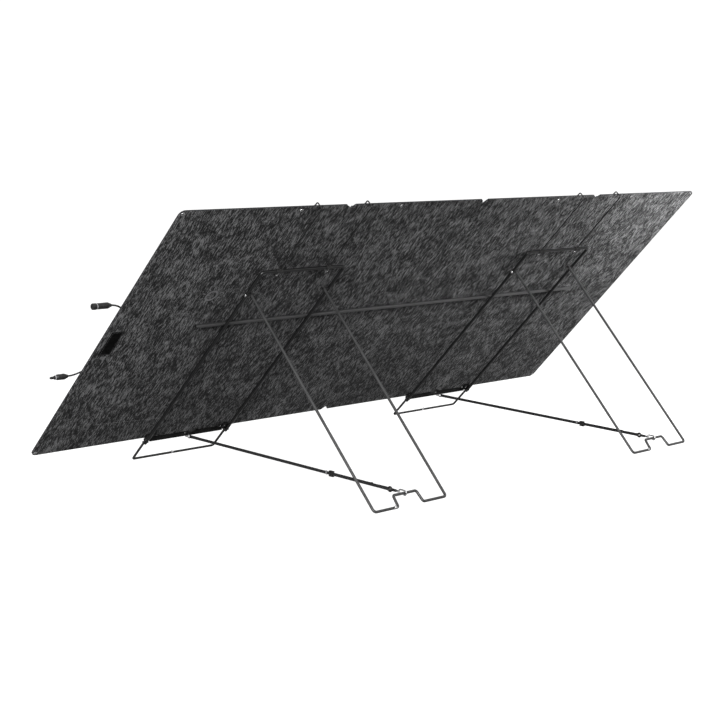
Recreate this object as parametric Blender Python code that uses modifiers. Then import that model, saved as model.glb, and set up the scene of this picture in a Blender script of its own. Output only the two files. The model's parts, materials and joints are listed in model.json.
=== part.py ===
"""Folding solar panel of four leaves, held up by two wire stands.

Panel coordinates: x runs along the panel from its left edge as seen from behind, v runs down the
slope from the top edge, and n stands out of the panel's back. The `panel` empty carries them:
its local axes are x, up the slope (-v) and n. The ground is z = 0.
"""

import math

import bmesh
import bpy
from mathutils import Matrix, Vector

# ---- driving dimensions, in metres and degrees ----
LEAF_WIDTHS = (0.625, 0.586, 0.578, 0.576)
PANEL_HEIGHT = 1.058
LEAF_THICKNESS = 0.006
FOLD_GAP = 0.008
CORNER_RADIUS = 0.018
SIDE_NOTCH = (0.035, 0.022, 0.008)  # width at the edge, width of its floor, depth
MIDDLE_NOTCH = (0.030, 0.008, 0.015)
CLEARANCE = 0.0003

LAMINATE_THICKNESS = 0.001
LAMINATE_SIDE_MARGIN = 0.012
LAMINATE_END_MARGIN = 0.022
TERMINAL_STRIP = 0.056  # free of cells, at the left edge of the first leaf
HINGE_DEPTH = 0.0078  # the middle fold's axis, in front of the back face
SIDE_STRIP = (-0.0045, -0.0015)  # front and back of the fabric in the outer folds
MIDDLE_STRIP = (-0.0075, -0.0060)

STAND_CENTRES = (0.589, 1.794)
FRAME_HALF_WIDTH = 0.166
FRAME_TOP = 0.254
FRAME_END = 1.066
FRAME_RADIUS = 0.0045
FRAME_OFFSET = 0.016
FRAME_BEND = 0.012
LEG_PIVOT = 0.354
LEG_HALF_WIDTH = 0.1465
LEG_RADIUS = 0.0035
LEG_LENGTH = 0.761
LEG_ANGLE = 86.5  # from the slope, at rest
LEG_BEND = 0.010
LEG_TAIL = 0.011
JOG_HALF_WIDTH = 0.051
JOG_TOP_HALF_WIDTH = 0.047
JOG_HEIGHT = 0.038
JOG_BEND = 0.007
FOOT_PIVOT = 1.057
FOOT_END = 1.1515
FOOT_END_OFFSET = 0.012
FOOT_RADIUS = 0.0033
FOOT_SKEW = 0.005
FOOT_BEND = 0.008
FOOT_TAIL = 0.003
PIN_RADIUS = 0.0022
PIN_HEAD_RADIUS = 0.0046
PIN_HEAD_HEIGHT = 0.0020

TRAY_TOP = 1.0605
TRAY_WALL = 0.002
TRAY_FRONT = -0.0105
TRAY_BACK = 0.0145
TRAY_LIP = 0.0135
TRAY_END_MARGIN = 0.0165
TRAY_BRACKET = (0.022, 0.0265)  # along x, down the slope
TRAY_HOLE = 0.0045  # centre of the hook's hole, from the panel's back
TRAY_HOLE_RADIUS = 0.003
# From the strap's eye round the tray's rear edge and up through its hole: (v, n) points.
TRAY_HOOK_ROUTE = ((1.0605, 0.0183), (1.0660, 0.0148), (1.0662, 0.0075), (1.0625, 0.0050), (1.0560, 0.0043))

HOOK_SPACING = 0.200
HOOK_RADIUS = 0.002
HOOK_OVER = -0.007
HOOK_FRONT = -0.0105
HOOK_TIP = 0.011
SLEEVE_LENGTH = 0.018
SLEEVE_WALL = 0.0022

ROD_ENDS = (0.318, 2.079)
ROD_HEIGHT = 0.4927
ROD_RADIUS = 0.005

WIRE_RADIUS = 0.0014
CLIP_RADIUS = 0.0008
EYE_RADIUS = 0.0055
STRAP_START = (1.0525, 0.0245)  # centre of the lower hook's eye: v, n
STRAP_WIDTH = 0.010
STRAP_THICKNESS = 0.0015
STRAP_DOUBLED = 0.0035
STRAP_DOUBLED_FROM = 0.702
STRAP_DOUBLED_TO = 0.845
SLIDER_AT = 0.6695
SLIDER_SIZE = (0.0075, 0.016, 0.016)  # across, along and over the strap
SWIVEL_REACH = 0.0571  # from the jog to the upper hook's eye

PATCH = (0.0255, 0.490, 0.0325, 0.096)  # left, top, width, height
PATCH_THICKNESS = 0.0015
BOX = (0.0190, 0.482, 0.036, 0.106)
BOX_HEIGHT = 0.009
LID_HEIGHT = 0.0028
LID_INSET = 0.001
GLAND_LENGTH = 0.015
LEAD_RADIUS = 0.0026
LEAD_PLANE = -0.0120  # both leads lie in one plane, in front of the panel's back
# Turned outlines, as (radius, height) points from the far end back to the lead.
GLAND_PROFILE = (
    (0, GLAND_LENGTH),
    (0.0034, GLAND_LENGTH),
    (0.0044, 0.0105),
    (0.0044, 0.0070),
    (0.0040, 0.0060),
    (0.0040, 0),
    (0, 0),
)
SOCKET_PROFILE = (
    (0, 0.0630),
    (0.0062, 0.0630),
    (0.0092, 0.0605),
    (0.0092, 0.0515),
    (0.0080, 0.0505),
    (0.0080, 0.0480),
    (0.0088, 0.0470),
    (0.0088, 0.0110),
    (0.0048, 0.0020),
    (0.0040, 0),
    (0, 0),
)
PLUG_PROFILE = (
    (0, 0.0600),
    (0.0034, 0.0600),
    (0.0040, 0.0570),
    (0.0040, 0.0470),
    (0.0060, 0.0460),
    (0.0060, 0.0390),
    (0.0085, 0.0370),
    (0.0085, 0.0110),
    (0.0048, 0.0020),
    (0.0040, 0),
    (0, 0),
)

# ---- derived sizes ----
PANEL_LENGTH = sum(LEAF_WIDTHS)
FOLDS = [sum(LEAF_WIDTHS[: i + 1]) for i in range(3)]
LEG_DIRECTION = Vector((math.cos(math.radians(LEG_ANGLE)), math.sin(math.radians(LEG_ANGLE))))
LEG_END = Vector((LEG_PIVOT, FRAME_OFFSET)) + LEG_LENGTH * LEG_DIRECTION
JOG = Vector((LEG_PIVOT, FRAME_OFFSET)) + (LEG_LENGTH - JOG_HEIGHT) * LEG_DIRECTION
FOOT_ANGLE = math.degrees(math.atan2(FOOT_END_OFFSET - FRAME_OFFSET, FOOT_END - FOOT_PIVOT))
FOOT_LENGTH = math.hypot(FOOT_END_OFFSET - FRAME_OFFSET, FOOT_END - FOOT_PIVOT)
FOOT_SHIFT = -(FRAME_RADIUS + FOOT_RADIUS + 0.0004)
STRAP_VECTOR = JOG - Vector(STRAP_START)
STRAP_ANGLE = math.degrees(math.atan2(STRAP_VECTOR.y, STRAP_VECTOR.x))
STRAP_LENGTH = STRAP_VECTOR.length - SWIVEL_REACH

# The panel leans so that the foot's bar and the leg's bar stand on the same ground.
SPAN = Vector((FOOT_END - LEG_END.x, LEG_END.y - FOOT_END_OFFSET))
TILT = math.atan2(SPAN.y, SPAN.x) + math.asin((LEG_RADIUS - FOOT_RADIUS) / SPAN.length)
TOP_EDGE_HEIGHT = math.sin(TILT) * FOOT_END + math.cos(TILT) * FOOT_END_OFFSET + FOOT_RADIUS
FRONT_REACH = math.cos(TILT) * FOOT_END - math.sin(TILT) * FOOT_END_OFFSET + FOOT_RADIUS
REAR_REACH = math.cos(TILT) * LEG_END.x - math.sin(TILT) * LEG_END.y - LEG_RADIUS
TOP_EDGE_Y = -(FRONT_REACH + REAR_REACH) / 2

FELT = ((0.045, 0.045, 0.047), 0.95, 0.0)
CELLS = ((0.012, 0.016, 0.035), 0.25, 0.0)
BLACK_TUBE = ((0.012, 0.012, 0.012), 0.38, 0.6)
BLACK_PLASTIC = ((0.010, 0.010, 0.010), 0.45, 0.0)
WEBBING = ((0.015, 0.015, 0.015), 0.9, 0.0)
STEEL = ((0.60, 0.60, 0.60), 0.3, 1.0)
RUBBER = ((0.012, 0.012, 0.012), 0.7, 0.0)

for old in list(bpy.data.objects):
    bpy.data.objects.remove(old, do_unlink=True)


def new_collection(name):
    collection = bpy.data.collections.new(name)
    bpy.context.scene.collection.children.link(collection)
    return collection


parts = new_collection("solar_panel")
cutters = new_collection("cutters")


def at(x, v, n):
    """A point of the panel's coordinates, in the panel empty's axes."""
    return Vector((x - PANEL_LENGTH / 2, -v, n))


def empty(name, parent=None, location=(0, 0, 0), turn=0.0):
    obj = bpy.data.objects.new(name, None)
    parts.objects.link(obj)
    obj.parent = parent
    obj.location = location
    obj.rotation_euler = (turn, 0, 0)
    return obj


def material(name, look):
    color, roughness, metallic = look
    mat = bpy.data.materials.new(name)
    mat.use_nodes = True
    shader = mat.node_tree.nodes["Principled BSDF"]
    shader.inputs["Base Color"].default_value = (*color, 1)
    shader.inputs["Roughness"].default_value = roughness
    shader.inputs["Metallic"].default_value = metallic
    return mat


def add(name, data, parent, look, location=(0, 0, 0), rotation=(0, 0, 0)):
    obj = bpy.data.objects.new(name, data)
    parts.objects.link(obj)
    obj.parent = parent
    obj.location = location
    obj.rotation_euler = rotation
    data.materials.append(material(name, look))
    return obj


def filleted(points, radius, steps=5):
    """The points of an open path, with each inner corner rounded by an arc."""
    path = [Vector(points[0])]
    for before, corner, after in zip(points, points[1:], points[2:]):
        before, corner, after = Vector(before), Vector(corner), Vector(after)
        a, b = (before - corner).normalized(), (after - corner).normalized()
        half = a.angle(b) / 2
        if half > math.radians(87):
            path.append(corner)
            continue
        back = min(radius / math.tan(half), 0.49 * (before - corner).length, 0.49 * (after - corner).length)
        middle = corner + (a + b).normalized() * back / math.cos(half)
        start, end = corner + a * back, corner + b * back
        for i in range(steps + 1):
            ray = (start - middle).slerp(end - middle, i / steps)
            path.append(middle + ray * (start - middle).length)
    path.append(Vector(points[-1]))
    return path


def smooth_path(points, spacing):
    """Points about `spacing` apart along a smooth curve through the given ones."""
    ends = [2 * points[0] - points[1]] + points + [2 * points[-1] - points[-2]]
    path = [points[0]]
    for a, b, c, d in zip(ends, ends[1:], ends[2:], ends[3:]):
        steps = max(1, round((c - b).length / spacing))
        for i in range(1, steps + 1):
            t = i / steps
            path.append(
                0.5 * (2 * b + (c - a) * t + (2 * a - 5 * b + 4 * c - d) * t**2 + (3 * b - a - 3 * c + d) * t**3)
            )
    return path


def wire(name, points, radius, parent, look, resolution=4):
    """A round tube along a path of straight pieces."""
    curve = bpy.data.curves.new(name, "CURVE")
    curve.dimensions = "3D"
    curve.bevel_depth = radius
    curve.bevel_resolution = resolution
    curve.use_fill_caps = True
    spline = curve.splines.new("POLY")
    spline.points.add(len(points) - 1)
    for point, co in zip(spline.points, points):
        point.co = (*co, 1)
    return add(name, curve, parent, look)


def flat(name, outline, thickness, parent, look, location=(0, 0, 0), rotation=(0, 0, 0)):
    """A plate of an outline, its thickness centred on the outline's plane."""
    curve = bpy.data.curves.new(name, "CURVE")
    curve.dimensions = "2D"
    curve.fill_mode = "BOTH"
    curve.extrude = thickness / 2
    spline = curve.splines.new("POLY")
    spline.points.add(len(outline) - 1)
    for point, co in zip(spline.points, outline):
        point.co = (co[0], co[1], 0, 1)
    spline.use_cyclic_u = True
    return add(name, curve, parent, look, location, rotation)


def block(name, low, high, parent, look, bevel=0.0):
    """A box between two corners, with its edges rounded."""
    low, high = Vector(low), Vector(high)
    mesh = bpy.data.meshes.new(name)
    bm = bmesh.new()
    size = Matrix.Diagonal((*(high - low), 1))
    bmesh.ops.create_cube(bm, size=1, matrix=Matrix.Translation((low + high) / 2) @ size)
    bm.to_mesh(mesh)
    bm.free()
    obj = add(name, mesh, parent, look)
    if bevel:
        rounding = obj.modifiers.new("rounding", "BEVEL")
        rounding.width = bevel
        rounding.segments = 2
    return obj


def turned(name, profile, parent, look, location, rotation, closed=False, steps=16):
    """A turned shape about its local Z, from (radius, height) points down its outer side."""
    mesh = bpy.data.meshes.new(name)
    edges = [(i, i + 1) for i in range(len(profile) - 1)]
    if closed:
        edges.append((len(profile) - 1, 0))
    mesh.from_pydata([(r, 0, z) for r, z in profile], edges, [])
    obj = add(name, mesh, parent, look, location, rotation)
    screw = obj.modifiers.new("turning", "SCREW")
    screw.steps = screw.render_steps = steps
    screw.use_merge_vertices = True
    screw.merge_threshold = 0.00001
    return obj


def as_mesh(obj):
    """The object again with its curve made a mesh and its caps welded, for cutting."""
    bpy.context.view_layer.update()
    evaluated = obj.evaluated_get(bpy.context.evaluated_depsgraph_get())
    mesh = bpy.data.meshes.new_from_object(evaluated)
    bm = bmesh.new()
    bm.from_mesh(mesh)
    bmesh.ops.remove_doubles(bm, verts=bm.verts, dist=0.00001)
    bm.to_mesh(mesh)
    bm.free()
    name, parent = obj.name, obj.parent
    place, turn = obj.location.copy(), obj.rotation_euler.copy()
    look = obj.data.materials[0]
    bpy.data.objects.remove(obj)
    solid = bpy.data.objects.new(name, mesh)
    parts.objects.link(solid)
    solid.parent, solid.location, solid.rotation_euler = parent, place, turn
    mesh.materials.clear()
    mesh.materials.append(look)
    return solid


def hide_cutter(obj):
    for collection in obj.users_collection:
        collection.objects.unlink(obj)
    cutters.objects.link(obj)
    obj.hide_render = True
    obj.display_type = "WIRE"


def drill(target, parent, location, radius, depth, rotation=(0, math.pi / 2, 0)):
    """Cuts a round hole, by default along x."""
    bpy.ops.mesh.primitive_cylinder_add(vertices=16, radius=radius, depth=depth)
    cutter = bpy.context.object
    cutter.name = f"{target.name}_drill"
    hide_cutter(cutter)
    cutter.parent, cutter.location, cutter.rotation_euler = parent, location, rotation
    cut = target.modifiers.new("drilled", "BOOLEAN")
    cut.operation = "DIFFERENCE"
    cut.object = cutter


def join(target, other):
    """Unites another piece's solid with the target's."""
    hide_cutter(other)
    union = target.modifiers.new("joined", "BOOLEAN")
    union.operation = "UNION"
    union.object = other


# ---- panel ----
panel = empty("panel", None, (0, TOP_EDGE_Y, TOP_EDGE_HEIGHT), math.pi - TILT)
hinge_point = at(FOLDS[1], 0, -HINGE_DEPTH)
right_half = empty("right_half", panel, hinge_point)


def side(x, v, n, parent):
    """A point of the panel's coordinates, in the axes of either half."""
    return at(x, v, n) - (hinge_point if parent is right_half else Vector())


def corner_arc(x, v, turn, steps=6):
    """The points of a leaf's rounded outer corner, by its centre and first direction in degrees."""
    points = []
    for i in range(steps + 1):
        angle = math.radians(turn - 90 * i / steps)
        points.append((x + CORNER_RADIUS * math.cos(angle), v + CORNER_RADIUS * math.sin(angle)))
    return points


def notch(fold, edge, inward):
    """One half of a notch in a leaf's edge, from the edge to the fold's gap: (x, v) points."""
    width, floor, depth = MIDDLE_NOTCH if fold == 1 else SIDE_NOTCH
    away = 1 if edge == "left" else -1
    top = FOLDS[fold] + away * width / 2
    bottom = FOLDS[fold] + away * floor / 2
    gap = FOLDS[fold] + away * FOLD_GAP / 2
    v = depth if inward > 0 else PANEL_HEIGHT - depth
    start = 0 if inward > 0 else PANEL_HEIGHT
    points = [(top, start), (bottom, v)]
    if abs(bottom - FOLDS[fold]) > FOLD_GAP / 2:
        points.append((gap, v))
    return points


def leaf_outline(index):
    """A leaf's outline as (x, v) points, anticlockwise seen from behind."""
    right, left = [], []
    if index == 3:
        right = corner_arc(PANEL_LENGTH - CORNER_RADIUS, PANEL_HEIGHT - CORNER_RADIUS, 90)
        right += corner_arc(PANEL_LENGTH - CORNER_RADIUS, CORNER_RADIUS, 0)
    else:
        right = notch(index, "right", -1) + notch(index, "right", 1)[::-1]
    if index == 0:
        left = corner_arc(CORNER_RADIUS, CORNER_RADIUS, -90)
        left += corner_arc(CORNER_RADIUS, PANEL_HEIGHT - CORNER_RADIUS, -180)
    else:
        left = notch(index - 1, "left", 1) + notch(index - 1, "left", -1)[::-1]
    return right + left


for index in range(4):
    half = panel if index < 2 else right_half
    plane = side(0, 0, -LEAF_THICKNESS / 2, half)
    outline = [(x, -v) for x, v in leaf_outline(index)]
    flat(f"leaf_{index + 1}", outline, LEAF_THICKNESS, half, FELT, plane)

    start = sum(LEAF_WIDTHS[:index]) + LAMINATE_SIDE_MARGIN
    end = sum(LEAF_WIDTHS[: index + 1]) - LAMINATE_SIDE_MARGIN
    if index == 0:
        start = TERMINAL_STRIP
    front = -LEAF_THICKNESS - CLEARANCE
    block(
        f"cell_laminate_{index + 1}",
        side(start, PANEL_HEIGHT - LAMINATE_END_MARGIN, front - LAMINATE_THICKNESS, half),
        side(end, LAMINATE_END_MARGIN, front, half),
        half,
        CELLS,
    )

for index, fold in enumerate(FOLDS):
    half = right_half if index == 2 else panel
    depth = (MIDDLE_NOTCH if index == 1 else SIDE_NOTCH)[2]
    low, high = MIDDLE_STRIP if index == 1 else SIDE_STRIP
    reach = FOLD_GAP / 2 - CLEARANCE
    block(
        f"fold_strip_{index + 1}",
        side(fold - reach, PANEL_HEIGHT - depth, low, half),
        side(fold + reach, depth, high, half),
        half,
        FELT,
    )

x, v, width, height = PATCH
block(
    "cable_patch",
    at(x, v + height, CLEARANCE),
    at(x + width, v, CLEARANCE + PATCH_THICKNESS),
    panel,
    WEBBING,
)

# ---- terminal box, leads and connectors, on the sun side ----
x, v, width, height = BOX
box_back = -LEAF_THICKNESS - CLEARANCE
box_front = box_back - BOX_HEIGHT
lid_back = box_front - CLEARANCE
low, high = at(x, v + height, box_front), at(x + width, v, box_back)
block("terminal_box", low, high, panel, BLACK_PLASTIC, 0.0012)
low = at(x + LID_INSET, v + height - LID_INSET, lid_back - LID_HEIGHT)
high = at(x + width - LID_INSET, v + LID_INSET, lid_back)
block("terminal_box_lid", low, high, panel, BLACK_PLASTIC, 0.0008)

lead_x = x + width / 2
# Each lead leaves its gland along the slope, bends round the panel's left edge and ends at its
# connector: (x, v) points in the plane LEAD_PLANE.
LEADS = {
    "upper": [
        (lead_x, 0.4667 - CLEARANCE),
        (lead_x, 0.4590),
        (lead_x, 0.4500),
        (0.0362, 0.4390),
        (0.0335, 0.4265),
        (0.0280, 0.4145),
        (0.0195, 0.4040),
        (0.0080, 0.3945),
        (-0.0055, 0.3868),
        (-0.0180, 0.3824),
        (-0.0301, 0.3800),
    ],
    "lower": [
        (lead_x, 0.6033 + CLEARANCE),
        (lead_x, 0.6110),
        (lead_x, 0.6200),
        (0.0360, 0.6310),
        (0.0330, 0.6432),
        (0.0272, 0.6550),
        (0.0185, 0.6660),
        (0.0070, 0.6752),
        (-0.0062, 0.6823),
        (-0.0185, 0.6863),
        (-0.0300, 0.6873),
    ],
}

for name, fitting, profile, end, outward in (
    ("upper", "socket", SOCKET_PROFILE, v, -1),
    ("lower", "plug", PLUG_PROFILE, v + height, 1),
):
    mouth = at(lead_x, end + outward * CLEARANCE, LEAD_PLANE)
    turned(f"{name}_gland", GLAND_PROFILE, panel, BLACK_PLASTIC, mouth, (outward * math.pi / 2, 0, 0))
    route = [at(along, down, LEAD_PLANE) for along, down in LEADS[name]]
    wire(f"{name}_lead", smooth_path(route, 5 * LEAD_RADIUS), LEAD_RADIUS, panel, RUBBER, 2)
    start = route[-1] - Vector((2 * CLEARANCE, 0, 0))
    turned(f"{fitting}_connector", profile, panel, BLACK_PLASTIC, start, (0, -math.pi / 2, 0), steps=20)

# ---- stiffening rod, one section on each half ----
for name, half, ends in (
    ("left_rod_section", panel, (ROD_ENDS[0], FOLDS[1] - CLEARANCE / 2)),
    ("right_rod_section", right_half, (FOLDS[1] + CLEARANCE / 2, ROD_ENDS[1])),
):
    points = [side(end, ROD_HEIGHT, ROD_RADIUS + 0.0005, half) for end in ends]
    wire(name, points, ROD_RADIUS, half, BLACK_TUBE)


# ---- stands ----
def u_frame(half_width, length, tail, bend):
    """A U open at its near end: from one tail, along y to the bar, and back."""
    corners = [(-half_width, -tail, 0), (-half_width, length, 0), (half_width, length, 0), (half_width, -tail, 0)]
    return filleted(corners, bend)


def leg_path():
    corners = [(-LEG_HALF_WIDTH, -LEG_TAIL), (-LEG_HALF_WIDTH, LEG_LENGTH)]
    half = filleted([(x, y, 0) for x, y in corners] + [(0, LEG_LENGTH, 0)], LEG_BEND)[:-1]
    jog = [(-JOG_HALF_WIDTH - 0.04, LEG_LENGTH), (-JOG_HALF_WIDTH, LEG_LENGTH)]
    jog += [(-JOG_TOP_HALF_WIDTH, LEG_LENGTH - JOG_HEIGHT), (0, LEG_LENGTH - JOG_HEIGHT)]
    half += filleted([(x, y, 0) for x, y in jog], JOG_BEND)[1:-1]
    return half + [Vector((-p.x, p.y, 0)) for p in reversed(half)]


def foot_path():
    left, right = -FRAME_HALF_WIDTH + FOOT_SHIFT, FRAME_HALF_WIDTH + FOOT_SHIFT
    slope = FOOT_SKEW / FOOT_LENGTH
    corners = [
        (left - slope * FOOT_TAIL, -FOOT_TAIL, 0),
        (left + FOOT_SKEW, FOOT_LENGTH, 0),
        (right + FOOT_SKEW, FOOT_LENGTH, 0),
        (right - slope * FOOT_TAIL, -FOOT_TAIL, 0),
    ]
    return filleted(corners, FOOT_BEND)


def eye(start, turn, steps=11):
    """An open ring in the y-z plane about the origin, from `start` degrees through `turn` degrees."""
    points = []
    for i in range(steps + 1):
        angle = math.radians(start + turn * i / steps)
        points.append(Vector((0, EYE_RADIUS * math.cos(angle), EYE_RADIUS * math.sin(angle))))
    return points


def pin_profile(inner_span, heads):
    """A pin from z = 0 up through its span, with a head outside each end."""
    low, high = heads
    return [
        (0, high + PIN_HEAD_HEIGHT),
        (PIN_HEAD_RADIUS * 0.7, high + PIN_HEAD_HEIGHT),
        (PIN_HEAD_RADIUS, high + PIN_HEAD_HEIGHT * 0.5),
        (PIN_HEAD_RADIUS, high),
        (PIN_RADIUS, high),
        *inner_span,
        (PIN_RADIUS, low),
        (PIN_HEAD_RADIUS, low),
        (PIN_HEAD_RADIUS, low - PIN_HEAD_HEIGHT * 0.5),
        (PIN_HEAD_RADIUS * 0.7, low - PIN_HEAD_HEIGHT),
        (0, low - PIN_HEAD_HEIGHT),
    ]


def build_tray(name, stand, origin):
    """A channel under the panel's lower edge, with a bracket at each tube and a hole for the hook."""

    def spot(x, v, n):
        return Vector((x, -v, n)) - origin

    reach = FRAME_HALF_WIDTH - TRAY_END_MARGIN
    under = TRAY_TOP + TRAY_WALL
    tray = block(
        f"{name}_tray",
        spot(-reach, under, TRAY_FRONT),
        spot(reach, TRAY_TOP, TRAY_BACK),
        stand,
        BLACK_TUBE,
    )
    lip = block(
        f"{name}_tray_lip",
        spot(-reach, under, TRAY_FRONT - TRAY_WALL),
        spot(reach, under - TRAY_LIP, TRAY_FRONT + 0.0001),
        stand,
        BLACK_TUBE,
    )
    join(tray, lip)
    long, tall = TRAY_BRACKET
    for sign in (-1, 1):
        inner, outer = FRAME_HALF_WIDTH + 0.002 - long, FRAME_HALF_WIDTH + 0.002
        near, far = sorted((sign * inner, sign * outer))
        bracket = block(
            f"{name}_tray_bracket",
            spot(near, under + 0.0001, 0.0015),
            spot(far, under - tall, FRAME_OFFSET - FRAME_RADIUS - CLEARANCE),
            stand,
            BLACK_TUBE,
        )
        join(tray, bracket)
    hole = spot(0, TRAY_TOP, TRAY_HOLE)
    drill(tray, stand, hole, TRAY_HOLE_RADIUS, 0.02, (math.pi / 2, 0, 0))


def build_top_hook(name, label, stand, origin, x):
    """A sleeve on the frame's top bar and the rod that hooks over the panel's top edge."""
    inner = FRAME_RADIUS + CLEARANCE
    outer = inner + SLEEVE_WALL
    half = SLEEVE_LENGTH / 2
    turned(
        f"{name}_hook_sleeve_{label}",
        [(outer, half), (outer, -half), (inner, -half), (inner, half)],
        stand,
        BLACK_PLASTIC,
        Vector((x, -FRAME_TOP, FRAME_OFFSET)) - origin,
        (0, math.pi / 2, 0),
        closed=True,
    )
    route = [
        (FRAME_TOP - outer - CLEARANCE, FRAME_OFFSET),
        (HOOK_OVER, FRAME_OFFSET),
        (HOOK_OVER, HOOK_FRONT),
        (HOOK_TIP, HOOK_FRONT),
    ]
    points = filleted([Vector((x, -v, n)) - origin for v, n in route], 0.005)
    wire(f"{name}_top_hook_{label}", points, HOOK_RADIUS, stand, BLACK_TUBE, 2)


def build_strap(name, stand, origin, leg):
    """The strap from the tray to the jog, its slider and the hook at each end."""
    start = Vector((0, -STRAP_START[0], STRAP_START[1])) - origin
    line = empty(f"{name}_strap_line", stand, start, math.radians(180 - STRAP_ANGLE))
    reach = EYE_RADIUS + WIRE_RADIUS + CLEARANCE
    thin, thick = STRAP_THICKNESS / 2, STRAP_DOUBLED / 2
    ends = [reach, STRAP_DOUBLED_FROM, STRAP_DOUBLED_TO, STRAP_LENGTH - reach]
    upper = [(ends[0], thin), (ends[1], thin), (ends[1] + 0.003, thick)]
    upper += [(ends[2] - 0.002, thick), (ends[2], thin), (ends[3], thin)]
    outline = [(s, -t) for s, t in upper] + [(s, t) for s, t in reversed(upper)]
    # The outline lies in the plane of x and y, and the strap's width stands across it.
    flat(f"{name}_strap", [(t, s) for s, t in outline][::-1], STRAP_WIDTH, line, WEBBING)

    across, along, over = SLIDER_SIZE
    slider = block(
        f"{name}_slider",
        (-across / 2, SLIDER_AT - along / 2, -over / 2),
        (across / 2, SLIDER_AT + along / 2, over / 2),
        line,
        BLACK_PLASTIC,
        0.001,
    )
    slot = block(
        f"{name}_slider_slot",
        (-thin - CLEARANCE, SLIDER_AT - along, -STRAP_WIDTH / 2 - CLEARANCE),
        (thin + CLEARANCE, SLIDER_AT + along, STRAP_WIDTH / 2 + CLEARANCE),
        line,
        BLACK_PLASTIC,
    )
    hide_cutter(slot)
    cut = slider.modifiers.new("slot", "BOOLEAN")
    cut.operation = "DIFFERENCE"
    cut.object = slot

    # The lower hook runs from its eye round the tray's rear edge and up through the hole.
    turn = math.radians(180 - STRAP_ANGLE)
    to_line = Matrix.Rotation(-turn, 3, "X")
    tail = []
    for v, n in TRAY_HOOK_ROUTE:
        tail.append(to_line @ (Vector((0, -v, n)) - origin - start))
    ring = eye(330 - 180, 300)
    wire(f"{name}_tray_hook", ring + filleted([ring[-1] * 1.05, *tail], 0.002, 3)[1:], WIRE_RADIUS, line, STEEL, 2)

    # The upper hook hangs on the jog: it is modelled from the jog's centre, its eye towards the tray.
    hang = empty(
        f"{name}_hook_line",
        leg,
        (0, LEG_LENGTH - JOG_HEIGHT, 0),
        turn - math.radians(180 - LEG_ANGLE),
    )
    bowl = LEG_RADIUS + WIRE_RADIUS + 0.0011
    ring = [p - Vector((0, SWIVEL_REACH, 0)) for p in eye(25, 315)]
    stem = [Vector((0, -SWIVEL_REACH + EYE_RADIUS + 0.002, 0)), Vector((0, -0.0240, 0))]
    spine = [Vector((0, -0.0190, -bowl)), Vector((0, 0, -bowl))]
    arc = []
    for i in range(9):
        angle = math.radians(-90 + 205 * i / 8)
        arc.append(Vector((0, bowl * math.cos(angle), bowl * math.sin(angle))))
    body = filleted([ring[-1], *stem, *spine], 0.004, 3)[1:-1]
    wire(f"{name}_jog_hook", ring + body + arc, WIRE_RADIUS, hang, STEEL, 2)
    gate_pivot = Vector((0, -0.0205, bowl * 0.72))
    gate = empty(f"{name}_gate_pivot", hang, gate_pivot)
    tip = Vector((0, -0.0064, bowl - 0.0008)) - gate_pivot
    wire(f"{name}_hook_gate", [-0.1 * tip, tip], 0.0010, gate, STEEL, 2)


def build_clip(name, group, location, radius, turn):
    """A sprung clip over the top of a bar, with a short spur; `turn` is its group's, from the slope."""
    lean = 90 - math.degrees(math.pi - TILT) - turn
    bend = radius + CLEARANCE + CLIP_RADIUS
    arc = []
    for i in range(7):
        angle = math.radians(lean - 95 + 190 * i / 6)
        arc.append(Vector((0, bend * math.cos(angle), bend * math.sin(angle))))
    spur = arc[-1] + Vector((0, 0.009 * math.cos(math.radians(lean)), 0.009 * math.sin(math.radians(lean))))
    points = [location + p for p in arc + [arc[-1] * 1.15 + (spur - arc[-1]) * 0.25, spur]]
    wire(name, points, CLIP_RADIUS, group, STEEL, 2)


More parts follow.
